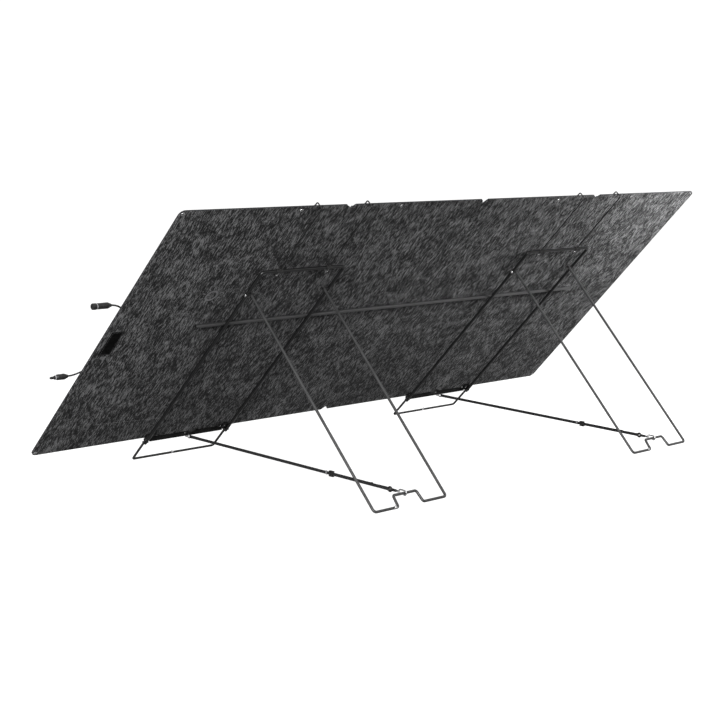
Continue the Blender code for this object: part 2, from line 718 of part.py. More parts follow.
def build_stand(name, centre, half):
    stand = empty(f"{name}_stand", half, side(centre, LEG_PIVOT, FRAME_OFFSET, half))
    origin = Vector((0, -LEG_PIVOT, FRAME_OFFSET))
    long, short = FRAME_END - LEG_PIVOT, LEG_PIVOT - FRAME_TOP
    frame = as_mesh(wire(f"{name}_frame", u_frame(FRAME_HALF_WIDTH, short, long, FRAME_BEND),
                         FRAME_RADIUS, stand, BLACK_TUBE))
    leg = empty(f"{name}_leg_pivot", stand, (0, 0, 0), math.radians(180 - LEG_ANGLE))
    legs = as_mesh(wire(f"{name}_leg", leg_path(), LEG_RADIUS, leg, BLACK_TUBE))
    foot = empty(f"{name}_foot_pivot", stand, (0, LEG_PIVOT - FOOT_PIVOT, 0), math.radians(180 - FOOT_ANGLE))
    feet = as_mesh(wire(f"{name}_foot", foot_path(), FOOT_RADIUS, foot, BLACK_TUBE))

    gap = PIN_RADIUS + CLEARANCE
    for sign, label in ((-1, "left"), (1, "right")):
        drill(frame, stand, (sign * FRAME_HALF_WIDTH, 0, 0), gap, 0.03)
        drill(frame, stand, (sign * FRAME_HALF_WIDTH, LEG_PIVOT - FOOT_PIVOT, 0), gap, 0.03)
        drill(legs, leg, (sign * LEG_HALF_WIDTH, 0, 0), gap, 0.02)
        drill(feet, foot, (sign * FRAME_HALF_WIDTH + FOOT_SHIFT, 0, 0), gap, 0.016)
        # The leg's pin starts inside the leg, and its collar keeps leg and frame apart.
        collar = (LEG_RADIUS + CLEARANCE, FRAME_HALF_WIDTH - LEG_HALF_WIDTH - FRAME_RADIUS - CLEARANCE)
        outer = FRAME_HALF_WIDTH - LEG_HALF_WIDTH + FRAME_RADIUS + CLEARANCE
        wide = [(PIN_RADIUS, collar[1]), (0.0040, collar[1]), (0.0040, collar[0]), (PIN_RADIUS, collar[0])]
        turned(
            f"{name}_leg_pin_{label}",
            pin_profile(wide, (-LEG_RADIUS - CLEARANCE, outer)),
            stand,
            STEEL,
            (sign * LEG_HALF_WIDTH, 0, 0),
            (0, sign * math.pi / 2, 0),
            steps=12,
        )
        # The foot's pin runs from the foot's rod into the frame's tube.
        heads = (-FOOT_RADIUS - CLEARANCE, -FOOT_SHIFT + FRAME_RADIUS + CLEARANCE)
        turned(
            f"{name}_foot_pin_{label}",
            pin_profile([], heads),
            stand,
            STEEL,
            (sign * FRAME_HALF_WIDTH + FOOT_SHIFT, LEG_PIVOT - FOOT_PIVOT, 0),
            (0, math.pi / 2, 0),
            steps=12,
        )
        build_top_hook(name, label, stand, origin, sign * HOOK_SPACING / 2)

    build_tray(name, stand, origin)
    build_strap(name, stand, origin, leg)
    build_clip(f"{name}_leg_clip", leg, Vector((-JOG_HALF_WIDTH - 0.013, LEG_LENGTH, 0)), LEG_RADIUS, 180 - LEG_ANGLE)
    build_clip(f"{name}_foot_clip", foot, Vector((-0.012, FOOT_LENGTH, 0)), FOOT_RADIUS, 180 - FOOT_ANGLE)


build_stand("left", STAND_CENTRES[0], panel)
build_stand("right", STAND_CENTRES[1], right_half)
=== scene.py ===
import json
import math

import bmesh
import bpy
from mathutils import Matrix, Vector

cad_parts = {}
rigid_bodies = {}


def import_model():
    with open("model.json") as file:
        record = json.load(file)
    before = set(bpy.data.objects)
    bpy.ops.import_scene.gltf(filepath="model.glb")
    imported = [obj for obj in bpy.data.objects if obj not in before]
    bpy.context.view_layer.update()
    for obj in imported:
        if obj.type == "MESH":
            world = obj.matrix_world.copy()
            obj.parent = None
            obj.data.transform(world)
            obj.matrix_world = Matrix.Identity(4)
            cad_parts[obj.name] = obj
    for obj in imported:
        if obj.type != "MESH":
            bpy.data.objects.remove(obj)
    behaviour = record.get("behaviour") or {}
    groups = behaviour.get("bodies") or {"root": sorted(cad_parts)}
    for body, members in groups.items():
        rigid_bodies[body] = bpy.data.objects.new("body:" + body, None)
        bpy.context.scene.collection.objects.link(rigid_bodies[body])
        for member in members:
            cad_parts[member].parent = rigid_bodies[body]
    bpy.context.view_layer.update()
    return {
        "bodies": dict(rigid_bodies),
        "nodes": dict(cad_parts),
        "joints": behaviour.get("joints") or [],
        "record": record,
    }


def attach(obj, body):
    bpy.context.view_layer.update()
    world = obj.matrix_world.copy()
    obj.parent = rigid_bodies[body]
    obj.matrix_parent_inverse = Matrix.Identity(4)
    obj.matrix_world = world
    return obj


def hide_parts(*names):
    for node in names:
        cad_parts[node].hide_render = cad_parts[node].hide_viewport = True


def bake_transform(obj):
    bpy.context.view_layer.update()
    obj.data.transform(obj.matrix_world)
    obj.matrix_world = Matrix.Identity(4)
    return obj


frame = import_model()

nodes = frame["nodes"]
joints = {joint["name"]: joint for joint in frame["joints"]}
mm = 0.001
sides = ("left", "right")
halfOf = {"left": "panel", "right": "right_half"}

# The panel leans, so most places are given along it: x from its left edge, down from its top edge
# and out of its back. The middle fold's axis runs up the slope.
along = Vector((1, 0, 0))
upSlope = Vector(joints["middle_fold"]["axis"]).normalized()
outBack = along.cross(upSlope)
leafPoints = [v.co for v in nodes["leaf_1"].data.vertices]
leftEdge = min(p.x for p in leafPoints)
topEdge = max(p.dot(upSlope) for p in leafPoints)
backFace = max(p.dot(outBack) for p in leafPoints)


def spot(x, down, out=0.0):
    return along * (leftEdge + x) + upSlope * (topEdge - down) + outBack * (backFace + out)


def onPanel(point):
    return Vector((point.x - leftEdge, topEdge - point.dot(upSlope), point.dot(outBack) - backFace))


def panelBox(node):
    places = [onPanel(v.co) for v in nodes[node].data.vertices]
    return [Vector([pick(p[i] for p in places) for i in range(3)]) for pick in (min, max)]


def axes(x, y):
    return Matrix((x, y, x.cross(y))).transposed()


def place(turn, point=Vector()):
    return Matrix.Translation(point) @ turn.to_4x4()


backTurn = axes(along, upSlope)  # faces out of the back


# camera
cameraSettings = {
    "lens": 80.07,
    "sensor": 36,
    "clip": (0.05, 300),
    "place": Vector((-3.799, -3.568, 1.021)),
    "ahead": Vector((0.69701, 0.70393, -0.13658)),
    "roll": 0.07,  # degrees
}


def makeCamera():
    data = bpy.data.cameras.new("camera")
    data.lens, data.sensor_width = cameraSettings["lens"], cameraSettings["sensor"]
    data.clip_start, data.clip_end = cameraSettings["clip"]
    camera = bpy.data.objects.new("camera", data)
    bpy.context.scene.collection.objects.link(camera)
    turn = cameraSettings["ahead"].to_track_quat("-Z", "Y").to_matrix()
    turn = turn @ Matrix.Rotation(math.radians(cameraSettings["roll"]), 3, "Z")
    camera.matrix_world = place(turn, cameraSettings["place"])
    bpy.context.scene.camera = camera
    print("camera")


makeCamera()


# node helpers, for geometry and shader trees alike
def addNode(tree, kind, inputs=None, **settings):
    node = tree.nodes.new(kind)
    for key, value in settings.items():
        setattr(node, key, value)
    for key, value in (inputs or {}).items():
        if isinstance(value, bpy.types.NodeSocket):
            tree.links.new(value, node.inputs[key])
        else:
            node.inputs[key].default_value = value
    return node


def newGroup(name, kind, inputs, outputs):
    tree = bpy.data.node_groups.new(name, kind)
    for direction, sockets in (("INPUT", inputs), ("OUTPUT", outputs)):
        for label, socket, *start in sockets:
            made = tree.interface.new_socket(label, in_out=direction, socket_type="NodeSocket" + socket)
            if start:
                made.default_value = start[0]
    return tree, tree.nodes.new("NodeGroupInput").outputs, tree.nodes.new("NodeGroupOutput").inputs


def mathNode(tree, operation, *values):
    return addNode(tree, "ShaderNodeMath", dict(enumerate(values)), operation=operation).outputs[0]


def vectorNode(tree, operation, *values):
    node = addNode(tree, "ShaderNodeVectorMath", dict(enumerate(values)), operation=operation)
    return node.outputs["Value" if operation == "DOT_PRODUCT" else "Vector"]


def mixColors(tree, share, first, second):
    node = addNode(tree, "ShaderNodeMix", {0: share, 6: first, 7: second}, data_type="RGBA")
    return node.outputs[2]


def fitted(tree, value, low, high, start=0.0, end=1.0):
    inputs = {"Value": value, "From Min": low, "From Max": high, "To Min": start, "To Max": end}
    return addNode(tree, "ShaderNodeMapRange", inputs).outputs[0]


def noise(tree, vector, scale, detail=2.0, roughness=0.5):
    inputs = {"Vector": vector, "Scale": scale, "Detail": detail, "Roughness": roughness}
    return addNode(tree, "ShaderNodeTexNoise", inputs).outputs["Fac"]


# shared shader effects
def makePanelAxes():
    sockets = [("Vector", "Vector")]
    tree, given, result = newGroup("panelAxes", "ShaderNodeTree", sockets, sockets)
    ways = [tuple(way) for way in (along, upSlope, outBack)]
    turned = [vectorNode(tree, "DOT_PRODUCT", given["Vector"], way) for way in ways]
    joined = addNode(tree, "ShaderNodeCombineXYZ", dict(enumerate(turned)))
    tree.links.new(joined.outputs[0], result["Vector"])
    return tree


def makeGrain():
    inputs = [("Vector", "Vector"), ("Scale", "Float", 900.0), ("Blotches", "Float", 12.0)]
    outputs = [("Height", "Float"), ("Blotch", "Float")]
    tree, given, result = newGroup("grain", "ShaderNodeTree", inputs, outputs)
    fine = noise(tree, given["Vector"], given["Scale"], 3.0, 0.55)
    broad = noise(tree, given["Vector"], given["Blotches"], 3.0, 0.6)
    tree.links.new(fine, result["Height"])
    tree.links.new(fitted(tree, broad, 0.35, 0.65), result["Blotch"])
    return tree


def makeScuffs():
    inputs = [("Vector", "Vector"), ("Scale", "Float", 60.0), ("Amount", "Float", 0.3)]
    tree, given, result = newGroup("scuffs", "ShaderNodeTree", inputs, [("Mask", "Float")])
    stretched = vectorNode(tree, "MULTIPLY", given["Vector"], (1.0, 0.35, 1.7))
    fine = noise(tree, stretched, given["Scale"], 6.0, 0.7)
    broad = noise(tree, given["Vector"], 7.0, 2.0)
    both = mathNode(tree, "ADD", fine, mathNode(tree, "MULTIPLY", broad, 0.35))
    edge = mathNode(tree, "SUBTRACT", 0.95, mathNode(tree, "MULTIPLY", given["Amount"], 0.4))
    past = mathNode(tree, "SUBTRACT", both, edge)
    sharp = addNode(tree, "ShaderNodeMath", {0: past, 1: 14.0}, operation="MULTIPLY", use_clamp=True)
    tree.links.new(sharp.outputs[0], result["Mask"])
    return tree


def makeDust():
    inputs = [("Vector", "Vector"), ("Amount", "Float", 0.3), ("Reach", "Float", 0.25)]
    tree, given, result = newGroup("dust", "ShaderNodeTree", inputs, [("Mask", "Float")])
    height = addNode(tree, "ShaderNodeSeparateXYZ", {0: given["Vector"]}).outputs["Z"]
    low = fitted(tree, mathNode(tree, "DIVIDE", height, given["Reach"]), 0.0, 1.0, 1.0, 0.0)
    cloud = fitted(tree, noise(tree, given["Vector"], 26.0, 5.0, 0.65), 0.4, 0.7)
    spread = mathNode(tree, "ADD", mathNode(tree, "MULTIPLY", low, 0.8), 0.2)
    dusty = mathNode(tree, "MULTIPLY", mathNode(tree, "MULTIPLY", cloud, spread), given["Amount"])
    tree.links.new(dusty, result["Mask"])
    return tree


def makeWeave():
    inputs = [("Vector", "Vector"), ("Across", "Float", 900.0), ("Along", "Float", 900.0)]
    outputs = [("Height", "Float"), ("Shade", "Float")]
    tree, given, result = newGroup("weave", "ShaderNodeTree", inputs, outputs)
    parts = addNode(tree, "ShaderNodeSeparateXYZ", {0: given["Vector"]}).outputs
    across = mathNode(tree, "SINE", mathNode(tree, "MULTIPLY", parts["X"], given["Across"]))
    down = mathNode(tree, "SINE", mathNode(tree, "MULTIPLY", parts["Y"], given["Along"]))
    height = fitted(tree, mathNode(tree, "MULTIPLY", across, down), -1.0, 1.0)
    tree.links.new(height, result["Height"])
    tree.links.new(fitted(tree, noise(tree, given["Vector"], 400.0, 3.0), 0.3, 0.7), result["Shade"])
    return tree


panelAxes, grain, scuffs = makePanelAxes(), makeGrain(), makeScuffs()
dust, weave = makeDust(), makeWeave()


def newFinish(name, slotName, roughness, metallic=0.0, **constants):
    finish = bpy.data.materials.new(name)
    finish.use_nodes = True
    finish["slot"] = slotName
    tree = finish.node_tree
    shader = tree.nodes["Principled BSDF"].inputs
    shader["Roughness"].default_value, shader["Metallic"].default_value = roughness, metallic
    for key, value in constants.items():
        shader[key].default_value = value
    return finish, tree, shader


def effect(tree, group, **inputs):
    return addNode(tree, "ShaderNodeGroup", inputs, node_tree=group).outputs


def objectPlace(tree):
    return addNode(tree, "ShaderNodeTexCoord").outputs["Object"]


def panelPlace(tree):
    return effect(tree, panelAxes, Vector=objectPlace(tree))["Vector"]


def surfaceMap(tree):
    return addNode(tree, "ShaderNodeUVMap", uv_map="surface").outputs["UV"]


def bumped(tree, shader, height, strength, distance):
    inputs = {"Height": height, "Strength": strength, "Distance": distance}
    tree.links.new(addNode(tree, "ShaderNodeBump", inputs).outputs[0], shader["Normal"])


feltLook = {
    "dark": (0.009, 0.009, 0.0093, 1),
    "light": (0.195, 0.195, 0.198, 1),
    "streaks": ((320.0, 38.0, 320.0), (350.0, 52.0, 350.0), (520.0, 140.0, 520.0)),
    "slants": (4, -9, 16),  # degrees from straight up the slope
    "streakShares": (0.42, 0.34, 0.28),
    "patches": (17.0, 3.0, 0.16),  # scale, detail and share
    "fibres": (1400.0, 2.0, 0.06),
    "contrast": (0.592, 0.702),
    "power": 1.8,
    "constants": {"Sheen Weight": 0.03, "Sheen Roughness": 0.5, "Specular IOR Level": 0.05},
}


def makeFelt():
    look = feltLook
    finish, tree, shader = newFinish("heatheredFelt", "panel_felt", 0.95, **look["constants"])
    spread = panelPlace(tree)
    parts = []
    for scale, slant, share in zip(look["streaks"], look["slants"], look["streakShares"]):
        inputs = {"Vector": spread, "Rotation": (0, 0, math.radians(slant))}
        turned = addNode(tree, "ShaderNodeMapping", inputs).outputs[0]
        parts.append((noise(tree, vectorNode(tree, "MULTIPLY", turned, scale), 1.0, 2.5, 0.6), share))
    for scale, detail, share in (look["patches"], look["fibres"]):
        parts.append((noise(tree, spread, scale, detail, 0.6), share))
    total = mathNode(tree, "MULTIPLY", *parts[0])
    for value, share in parts[1:]:
        total = mathNode(tree, "ADD", total, mathNode(tree, "MULTIPLY", value, share))
    shade = mathNode(tree, "POWER", fitted(tree, total, *look["contrast"]), look["power"])
    tree.links.new(mixColors(tree, shade, look["dark"], look["light"]), shader["Base Color"])
    bumped(tree, shader, total, 0.5, 1.2 * mm)
    return finish


def makeFabric(name, slotName, color, across, down, thread=0.5, sheen=0.2):
    constants = {"Sheen Weight": sheen, "Sheen Roughness": 0.4, "Specular IOR Level": 0.25}
    finish, tree, shader = newFinish(name, slotName, 0.85, **constants)
    vector = surfaceMap(tree) if name == "blackWebbing" else panelPlace(tree)
    woven = effect(tree, weave, Vector=vector, Across=across, Along=down)
    light = tuple(min(1.0, c * 2.6 + 0.004) for c in color) + (1,)
    # The colour follows the weave's height as well as random tone: raised threads are lighter and the dips
    # darker, a painted shade.
    shade = mathNode(tree, "MULTIPLY", mathNode(tree, "ADD", woven["Height"], woven["Shade"]), 0.45)
    tree.links.new(mixColors(tree, shade, (*color, 1), light), shader["Base Color"])
    bumped(tree, shader, woven["Height"], thread, 0.3 * mm)
    return finish


def makeCoated(name, slotName, color, roughness, scale, dusty=0.15, worn=0.1, metallic=0.0, bump=0.25):
    finish, tree, shader = newFinish(name, slotName, roughness, metallic)
    here = objectPlace(tree)
    speckle = effect(tree, grain, Vector=here, Scale=scale, Blotches=14.0)
    rubbed = effect(tree, scuffs, Vector=here, Scale=70.0, Amount=worn)["Mask"]
    powder = effect(tree, dust, Vector=here, Amount=dusty, Reach=0.3)["Mask"]
    deep = tuple(c * 0.7 for c in color) + (1,)
    base = mixColors(tree, speckle["Blotch"], deep, (*color, 1))
    base = mixColors(tree, mathNode(tree, "MULTIPLY", rubbed, 0.35), base, (0.16, 0.16, 0.165, 1))
    base = mixColors(tree, powder, base, (0.19, 0.175, 0.155, 1))
    tree.links.new(base, shader["Base Color"])
    rough = fitted(tree, speckle["Blotch"], 0.0, 1.0, roughness - 0.05, roughness + 0.06)
    tree.links.new(mathNode(tree, "ADD", rough, mathNode(tree, "MULTIPLY", powder, 0.5)), shader["Roughness"])
    bumped(tree, shader, speckle["Height"], bump, 0.15 * mm)
    return finish


def makeSteel():
    finish, tree, shader = newFinish("brightSteel", "bright_steel", 0.3, 1.0)
    here = objectPlace(tree)
    speckle = effect(tree, grain, Vector=here, Scale=700.0, Blotches=90.0)
    rubbed = effect(tree, scuffs, Vector=here, Scale=220.0, Amount=0.5)["Mask"]
    base = mixColors(tree, speckle["Blotch"], (0.46, 0.46, 0.47, 1), (0.70, 0.70, 0.70, 1))
    tree.links.new(mixColors(tree, rubbed, base, (0.22, 0.22, 0.22, 1)), shader["Base Color"])
    rough = fitted(tree, speckle["Blotch"], 0.0, 1.0, 0.18, 0.32)
    rough = mathNode(tree, "ADD", rough, mathNode(tree, "MULTIPLY", rubbed, 0.2))
    tree.links.new(rough, shader["Roughness"])
    bumped(tree, shader, speckle["Height"], 0.1, 0.05 * mm)
    return finish


# The film over the cells is pressed with small dimples, seen in its highlights only.
def makeFilmed(name, color, second, blotches):
    constants = {"Coat Weight": 1.0, "Coat Roughness": 0.16, "Specular IOR Level": 0.4}
    finish, tree, shader = newFinish(name, "cell_laminate", 0.4, **constants)
    spread = panelPlace(tree)
    tone = effect(tree, grain, Vector=spread, Scale=500.0, Blotches=blotches)
    tree.links.new(mixColors(tree, tone["Blotch"], (*color, 1), (*second, 1)), shader["Base Color"])
    cells = addNode(tree, "ShaderNodeTexVoronoi", {"Vector": spread, "Scale": 420.0, "Randomness": 0.35})
    bumped(tree, shader, cells.outputs["Distance"], 0.35, 0.4 * mm)
    return finish


def makeRibbonMetal():
    constants = {"Coat Weight": 0.8, "Coat Roughness": 0.16}
    finish, tree, shader = newFinish("tinnedRibbon", "cell_laminate", 0.35, 0.9, **constants)
    tone = effect(tree, grain, Vector=objectPlace(tree), Scale=600.0, Blotches=60.0)
    dull, bright = (0.42, 0.43, 0.45, 1), (0.55, 0.56, 0.58, 1)
    tree.links.new(mixColors(tree, tone["Blotch"], dull, bright), shader["Base Color"])
    return finish


def makeThread(name, slotName, color):
    finish, tree, shader = newFinish(name, slotName, 0.7, **{"Sheen Weight": 0.3})
    tone = effect(tree, grain, Vector=objectPlace(tree), Scale=2500.0, Blotches=300.0)
    light = tuple(c * 1.6 for c in color) + (1,)
    tree.links.new(mixColors(tree, tone["Blotch"], (*color, 1), light), shader["Base Color"])
    bumped(tree, shader, tone["Height"], 0.5, 0.1 * mm)
    return finish


def makePile():
    finish, tree, shader = newFinish("hookAndLoop", "hook_and_loop", 0.95, **{"Specular IOR Level": 0.05})
    spread = panelPlace(tree)
    loops = addNode(tree, "ShaderNodeTexVoronoi", {"Vector": spread, "Scale": 620.0}).outputs["Distance"]
    tone = effect(tree, grain, Vector=spread, Scale=1200.0, Blotches=120.0)
    # Darker in the pits between the loops, where the bump is lowest: painted shade, mixed with random tone.
    shade = mathNode(tree, "MULTIPLY", loops, tone["Blotch"])
    deep, light = (0.001, 0.001, 0.001, 1), (0.010, 0.010, 0.010, 1)
    tree.links.new(mixColors(tree, shade, deep, light), shader["Base Color"])
    bumped(tree, shader, loops, 0.8, 0.8 * mm)
    return finish


felt = makeFelt()
boardCloth = makeFabric("boardCloth", "panel_felt", (0.008, 0.008, 0.009), 3600.0, 3600.0, 0.35)
webbing = makeFabric("blackWebbing", "webbing", (0.007, 0.007, 0.0075), 2600.0, 1900.0, 0.9, 0.3)
tubeCoat = makeCoated("satinBlackCoat", "black_tube", (0.0035, 0.0035, 0.0037), 0.36, 1300.0, 0.02, 0.04)
# The same black tube coat made lighter for the legs and the rod: its grey base colour is painted reflection
# of the bright floor and world.
tubeCoatPaintedReflection = makeCoated("satinBlackPaintedReflection", "black_tube", (0.047, 0.047, 0.048), 0.36, 1300.0, 0.06, 0.12)
plastic = makeCoated(
    "mouldedPlastic", "black_plastic", (0.004, 0.004, 0.0043), 0.42, 1800.0, 0.08, 0.08, bump=0.35
)
jacket = makeCoated("leadJacket", "lead_jacket", (0.011, 0.011, 0.0115), 0.5, 900.0, 0.12, 0.05, bump=0.12)
rubber = makeCoated("softRubber", "lead_jacket", (0.009, 0.009, 0.009), 0.7, 700.0, 0.25, 0.05, bump=0.3)
# Grey on the connector seals; on the strap's keeper the same grey is a painted highlight on black plastic.
sealGreyAndKeeperHighlight = makeCoated("contactRing", "black_plastic", (0.32, 0.32, 0.33), 0.4, 900.0, 0.1, 0.1)
steel = makeSteel()
film = makeFilmed("clearFilm", (0.0035, 0.004, 0.006), (0.006, 0.007, 0.010), 9.0)
cellBlue = makeFilmed("cellBlue", (0.006, 0.010, 0.028), (0.010, 0.017, 0.045), 5.0)
ribbonMetal = makeRibbonMetal()
darkThread = makeThread("darkThread", "webbing", (0.035, 0.035, 0.036))
paleThread = makeThread("paleThread", "panel_felt", (0.17, 0.17, 0.17))
pile = makePile()
print("finishes")


# making pieces
def makePiece(name, mesh, finish, body=None, stands=(), sharp=35):
    if not mesh.materials:
        mesh.materials.append(finish)
    mesh.shade_smooth()
    mesh.set_sharp_from_angle(angle=math.radians(sharp))
    piece = bpy.data.objects.new(name, mesh)
    bpy.context.scene.collection.objects.link(piece)
    if body:
        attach(piece, body)
    if stands:
        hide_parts(*stands)
    return piece


def fromBmesh(name, bm, turn=None):
    if turn:
        bm.transform(turn)
    mesh = bpy.data.meshes.new(name)
    bm.to_mesh(mesh)
    bm.free()
    return mesh


def joinedMesh(name, meshes):
    bm = bmesh.new()
    for mesh in meshes:
        bm.from_mesh(mesh)
    return fromBmesh(name, bm)


def bent(corners, bend, steps=9):
    path = [Vector(corners[0])]
    for before, corner, after in zip(corners, corners[1:], corners[2:]):
        before, corner, after = Vector(before), Vector(corner), Vector(after)
        a, b = (before - corner).normalized(), (after - corner).normalized()
        half = a.angle(b) / 2
        if half > math.radians(87):
            path.append(corner)
            continue
        back = min(bend / math.tan(half), 0.49 * (before - corner).length, 0.49 * (after - corner).length)
        middle = corner + (a + b).normalized() * back / math.cos(half)
        first, last = corner + a * back - middle, corner + b * back - middle
        for i in range(steps + 1):
            path.append(middle + first.slerp(last, i / steps) * first.length)
    path.append(Vector(corners[-1]))
    return path


def curved(points, spacing):
    ends = [2 * points[0] - points[1]] + points + [2 * points[-1] - points[-2]]
    path = [points[0]]
    for a, b, c, d in zip(ends, ends[1:], ends[2:], ends[3:]):
        steps = max(1, round((c - b).length / spacing))
        for i in range(1, steps + 1):
            t = i / steps
            squared, cubed = 2 * a - 5 * b + 4 * c - d, 3 * b - a - 3 * c + d
            path.append(0.5 * (2 * b + (c - a) * t + squared * t**2 + cubed * t**3))
    return path


def pathMesh(points, closed=False, attributes=None):
    mesh = bpy.data.meshes.new("path")
    edges = [(i, i + 1) for i in range(len(points) - 1)] + ([(len(points) - 1, 0)] if closed else [])
    mesh.from_pydata([tuple(p) for p in points], edges, [])
    for label, values in (attributes or {}).items():
        layer = mesh.attributes.new(label, "FLOAT_VECTOR", "POINT")
        layer.data.foreach_set("vector", [c for value in values for c in value])
    return mesh


def grown(name, mesh, tree, values):
    carrier = bpy.data.objects.new(name, mesh)
    bpy.context.scene.collection.objects.link(carrier)
    modifier = carrier.modifiers.new(tree.name, "NODES")
    modifier.node_group = tree
    for item in tree.interface.items_tree:
        if item.in_out == "INPUT" and item.name in values:
            modifier[item.identifier] = values[item.name]
    result = bpy.data.meshes.new_from_object(carrier.evaluated_get(bpy.context.evaluated_depsgraph_get()))
    result.name = name
    bpy.data.objects.remove(carrier)
    return result


def newGeometryGroup(name, inputs):
    sockets = [("Geometry", "Geometry"), *inputs, ("Finish", "Material")]
    return newGroup(name, "GeometryNodeTree", sockets, sockets[:1])


def turnNode(tree, facing, heading):
    settings = {"primary_axis": "Z", "secondary_axis": "X"}
    return addNode(tree, "FunctionNodeAxesToRotation", {0: facing, 1: heading}, **settings).outputs[0]


def endTree(tree, geometry, finish, result):
    real = addNode(tree, "GeometryNodeRealizeInstances", {0: geometry})
    painted = addNode(tree, "GeometryNodeSetMaterial", {"Geometry": real.outputs[0], "Material": finish})
    tree.links.new(painted.outputs[0], result["Geometry"])
    return tree


def makeTubeTree():
    inputs = [("Radius", "Float", 0.004), ("Sides", "Int", 16)]
    tree, given, result = newGeometryGroup("tubeAlongPath", inputs)
    line = addNode(tree, "GeometryNodeMeshToCurve", {"Mesh": given["Geometry"]})
    circle = {"Resolution": given["Sides"], "Radius": given["Radius"]}
    ring = addNode(tree, "GeometryNodeCurvePrimitiveCircle", circle)
    swept = {"Curve": line.outputs[0], "Profile Curve": ring.outputs[0], "Fill Caps": True}
    tube = addNode(tree, "GeometryNodeCurveToMesh", swept).outputs[0]
    return endTree(tree, tube, given["Finish"], result)


# Copies of one shape on points, each turned by the point's facing (its Z) and heading (its X).
def makeCopiesTree():
    tree, given, result = newGeometryGroup("copiesOnPoints", [("Shape", "Object")])
    shape = addNode(tree, "GeometryNodeObjectInfo", {"Object": given["Shape"]})
    facing, heading = [
        addNode(tree, "GeometryNodeInputNamedAttribute", {"Name": label}, data_type="FLOAT_VECTOR").outputs[0]
        for label in ("facing", "heading")
    ]
    copies = {
        "Points": given["Geometry"], "Instance": shape.outputs["Geometry"],
        "Rotation": turnNode(tree, facing, heading),
    }
    placed = addNode(tree, "GeometryNodeInstanceOnPoints", copies).outputs[0]
    return endTree(tree, placed, given["Finish"], result)


# Stitches along a path, sunk a little into the cloth.
def makeStitchTree():
    inputs = [
        ("Spacing", "Float", 0.004), ("Stitch", "Float", 0.0028), ("Radius", "Float", 0.0004),
        ("Facing", "Vector"),
    ]
    tree, given, result = newGeometryGroup("stitchesAlongPath", inputs)
    line = addNode(tree, "GeometryNodeMeshToCurve", {"Mesh": given["Geometry"]})
    spacing = {"Curve": line.outputs[0], "Length": given["Spacing"]}
    spaced = addNode(tree, "GeometryNodeResampleCurve", spacing, mode="LENGTH")
    ball = {"Segments": 8, "Rings": 6, "Radius": given["Radius"]}
    stitch = addNode(tree, "GeometryNodeMeshUVSphere", ball)
    thickness = mathNode(tree, "MULTIPLY", given["Radius"], 2.0)
    longer = mathNode(tree, "DIVIDE", given["Stitch"], thickness)
    stretch = addNode(tree, "ShaderNodeCombineXYZ", {0: 1.0, 1: 1.0, 2: longer})
    tangent = addNode(tree, "GeometryNodeInputTangent").outputs[0]
    copies = {
        "Points": spaced.outputs[0], "Instance": stitch.outputs["Mesh"],
        "Rotation": turnNode(tree, tangent, given["Facing"]), "Scale": stretch.outputs[0],
    }
    placed = addNode(tree, "GeometryNodeInstanceOnPoints", copies).outputs[0]
    return endTree(tree, placed, given["Finish"], result)


tubeTree, copiesTree, stitchTree = makeTubeTree(), makeCopiesTree(), makeStitchTree()


def tubeMesh(name, points, radius, finish, around=16):
    return grown(name, pathMesh(points), tubeTree, {"Radius": radius, "Sides": around, "Finish": finish})


def copiesMesh(name, shape, points, facings, headings, finish):
    carried = bpy.data.objects.new("shape", shape)
    bpy.context.scene.collection.objects.link(carried)
    mesh = pathMesh(points, attributes={"facing": facings, "heading": headings})
    result = grown(name, mesh, copiesTree, {"Shape": carried, "Finish": finish})
    bpy.data.objects.remove(carried)
    return result


def stitchMesh(name, points, facing, finish, spacing=4 * mm, stitch=2.8 * mm, radius=0.35 * mm, closed=False):
    values = {"Spacing": spacing, "Stitch": stitch, "Radius": radius, "Finish": finish}
    values["Facing"] = tuple(facing)
    return grown(name, pathMesh(points, closed), stitchTree, values)


# A shape turned round its own Z; the profile gives radii and heights in mm.
def turnedMesh(name, profile, turn=None, steps=32):
    bm = bmesh.new()
    corners = [bm.verts.new((radius * mm, 0, height * mm)) for radius, height in profile]
    edges = [bm.edges.new(pair) for pair in zip(corners, corners[1:])]
    bmesh.ops.spin(bm, geom=corners + edges, axis=(0, 0, 1), cent=(0, 0, 0), steps=steps, angle=2 * math.pi)
    bmesh.ops.remove_doubles(bm, verts=bm.verts, dist=0.00001)
    bmesh.ops.recalc_face_normals(bm, faces=bm.faces)
    return fromBmesh(name, bm, turn)


def plateMesh(name, outline, low, high, turn, rounding=0.0, steps=2):
    bm = bmesh.new()
    face = bm.faces.new([bm.verts.new((x, y, low)) for x, y in outline])
    raised = bmesh.ops.extrude_face_region(bm, geom=[face])["geom"]
    corners = [v for v in raised if isinstance(v, bmesh.types.BMVert)]
    bmesh.ops.translate(bm, vec=(0, 0, high - low), verts=corners)
    bmesh.ops.recalc_face_normals(bm, faces=bm.faces)
    if rounding:
        rims = [e for e in bm.edges if abs(e.verts[0].co.z - e.verts[1].co.z) < 1e-7]
        bmesh.ops.bevel(bm, geom=rims, offset=rounding, segments=steps, affect="EDGES", profile=0.5)
    return fromBmesh(name, bm, turn)


def slabMesh(name, low, high, turn=None, rounding=0.5 * mm, steps=2):
    low, high = Vector(low), Vector(high)
    bm = bmesh.new()
    size = Matrix.Diagonal((*(high - low), 1))
    bmesh.ops.create_cube(bm, size=1, matrix=Matrix.Translation((low + high) / 2) @ size)
    bmesh.ops.bevel(bm, geom=list(bm.edges), offset=rounding, segments=steps, affect="EDGES", profile=0.5)
    return fromBmesh(name, bm, turn)


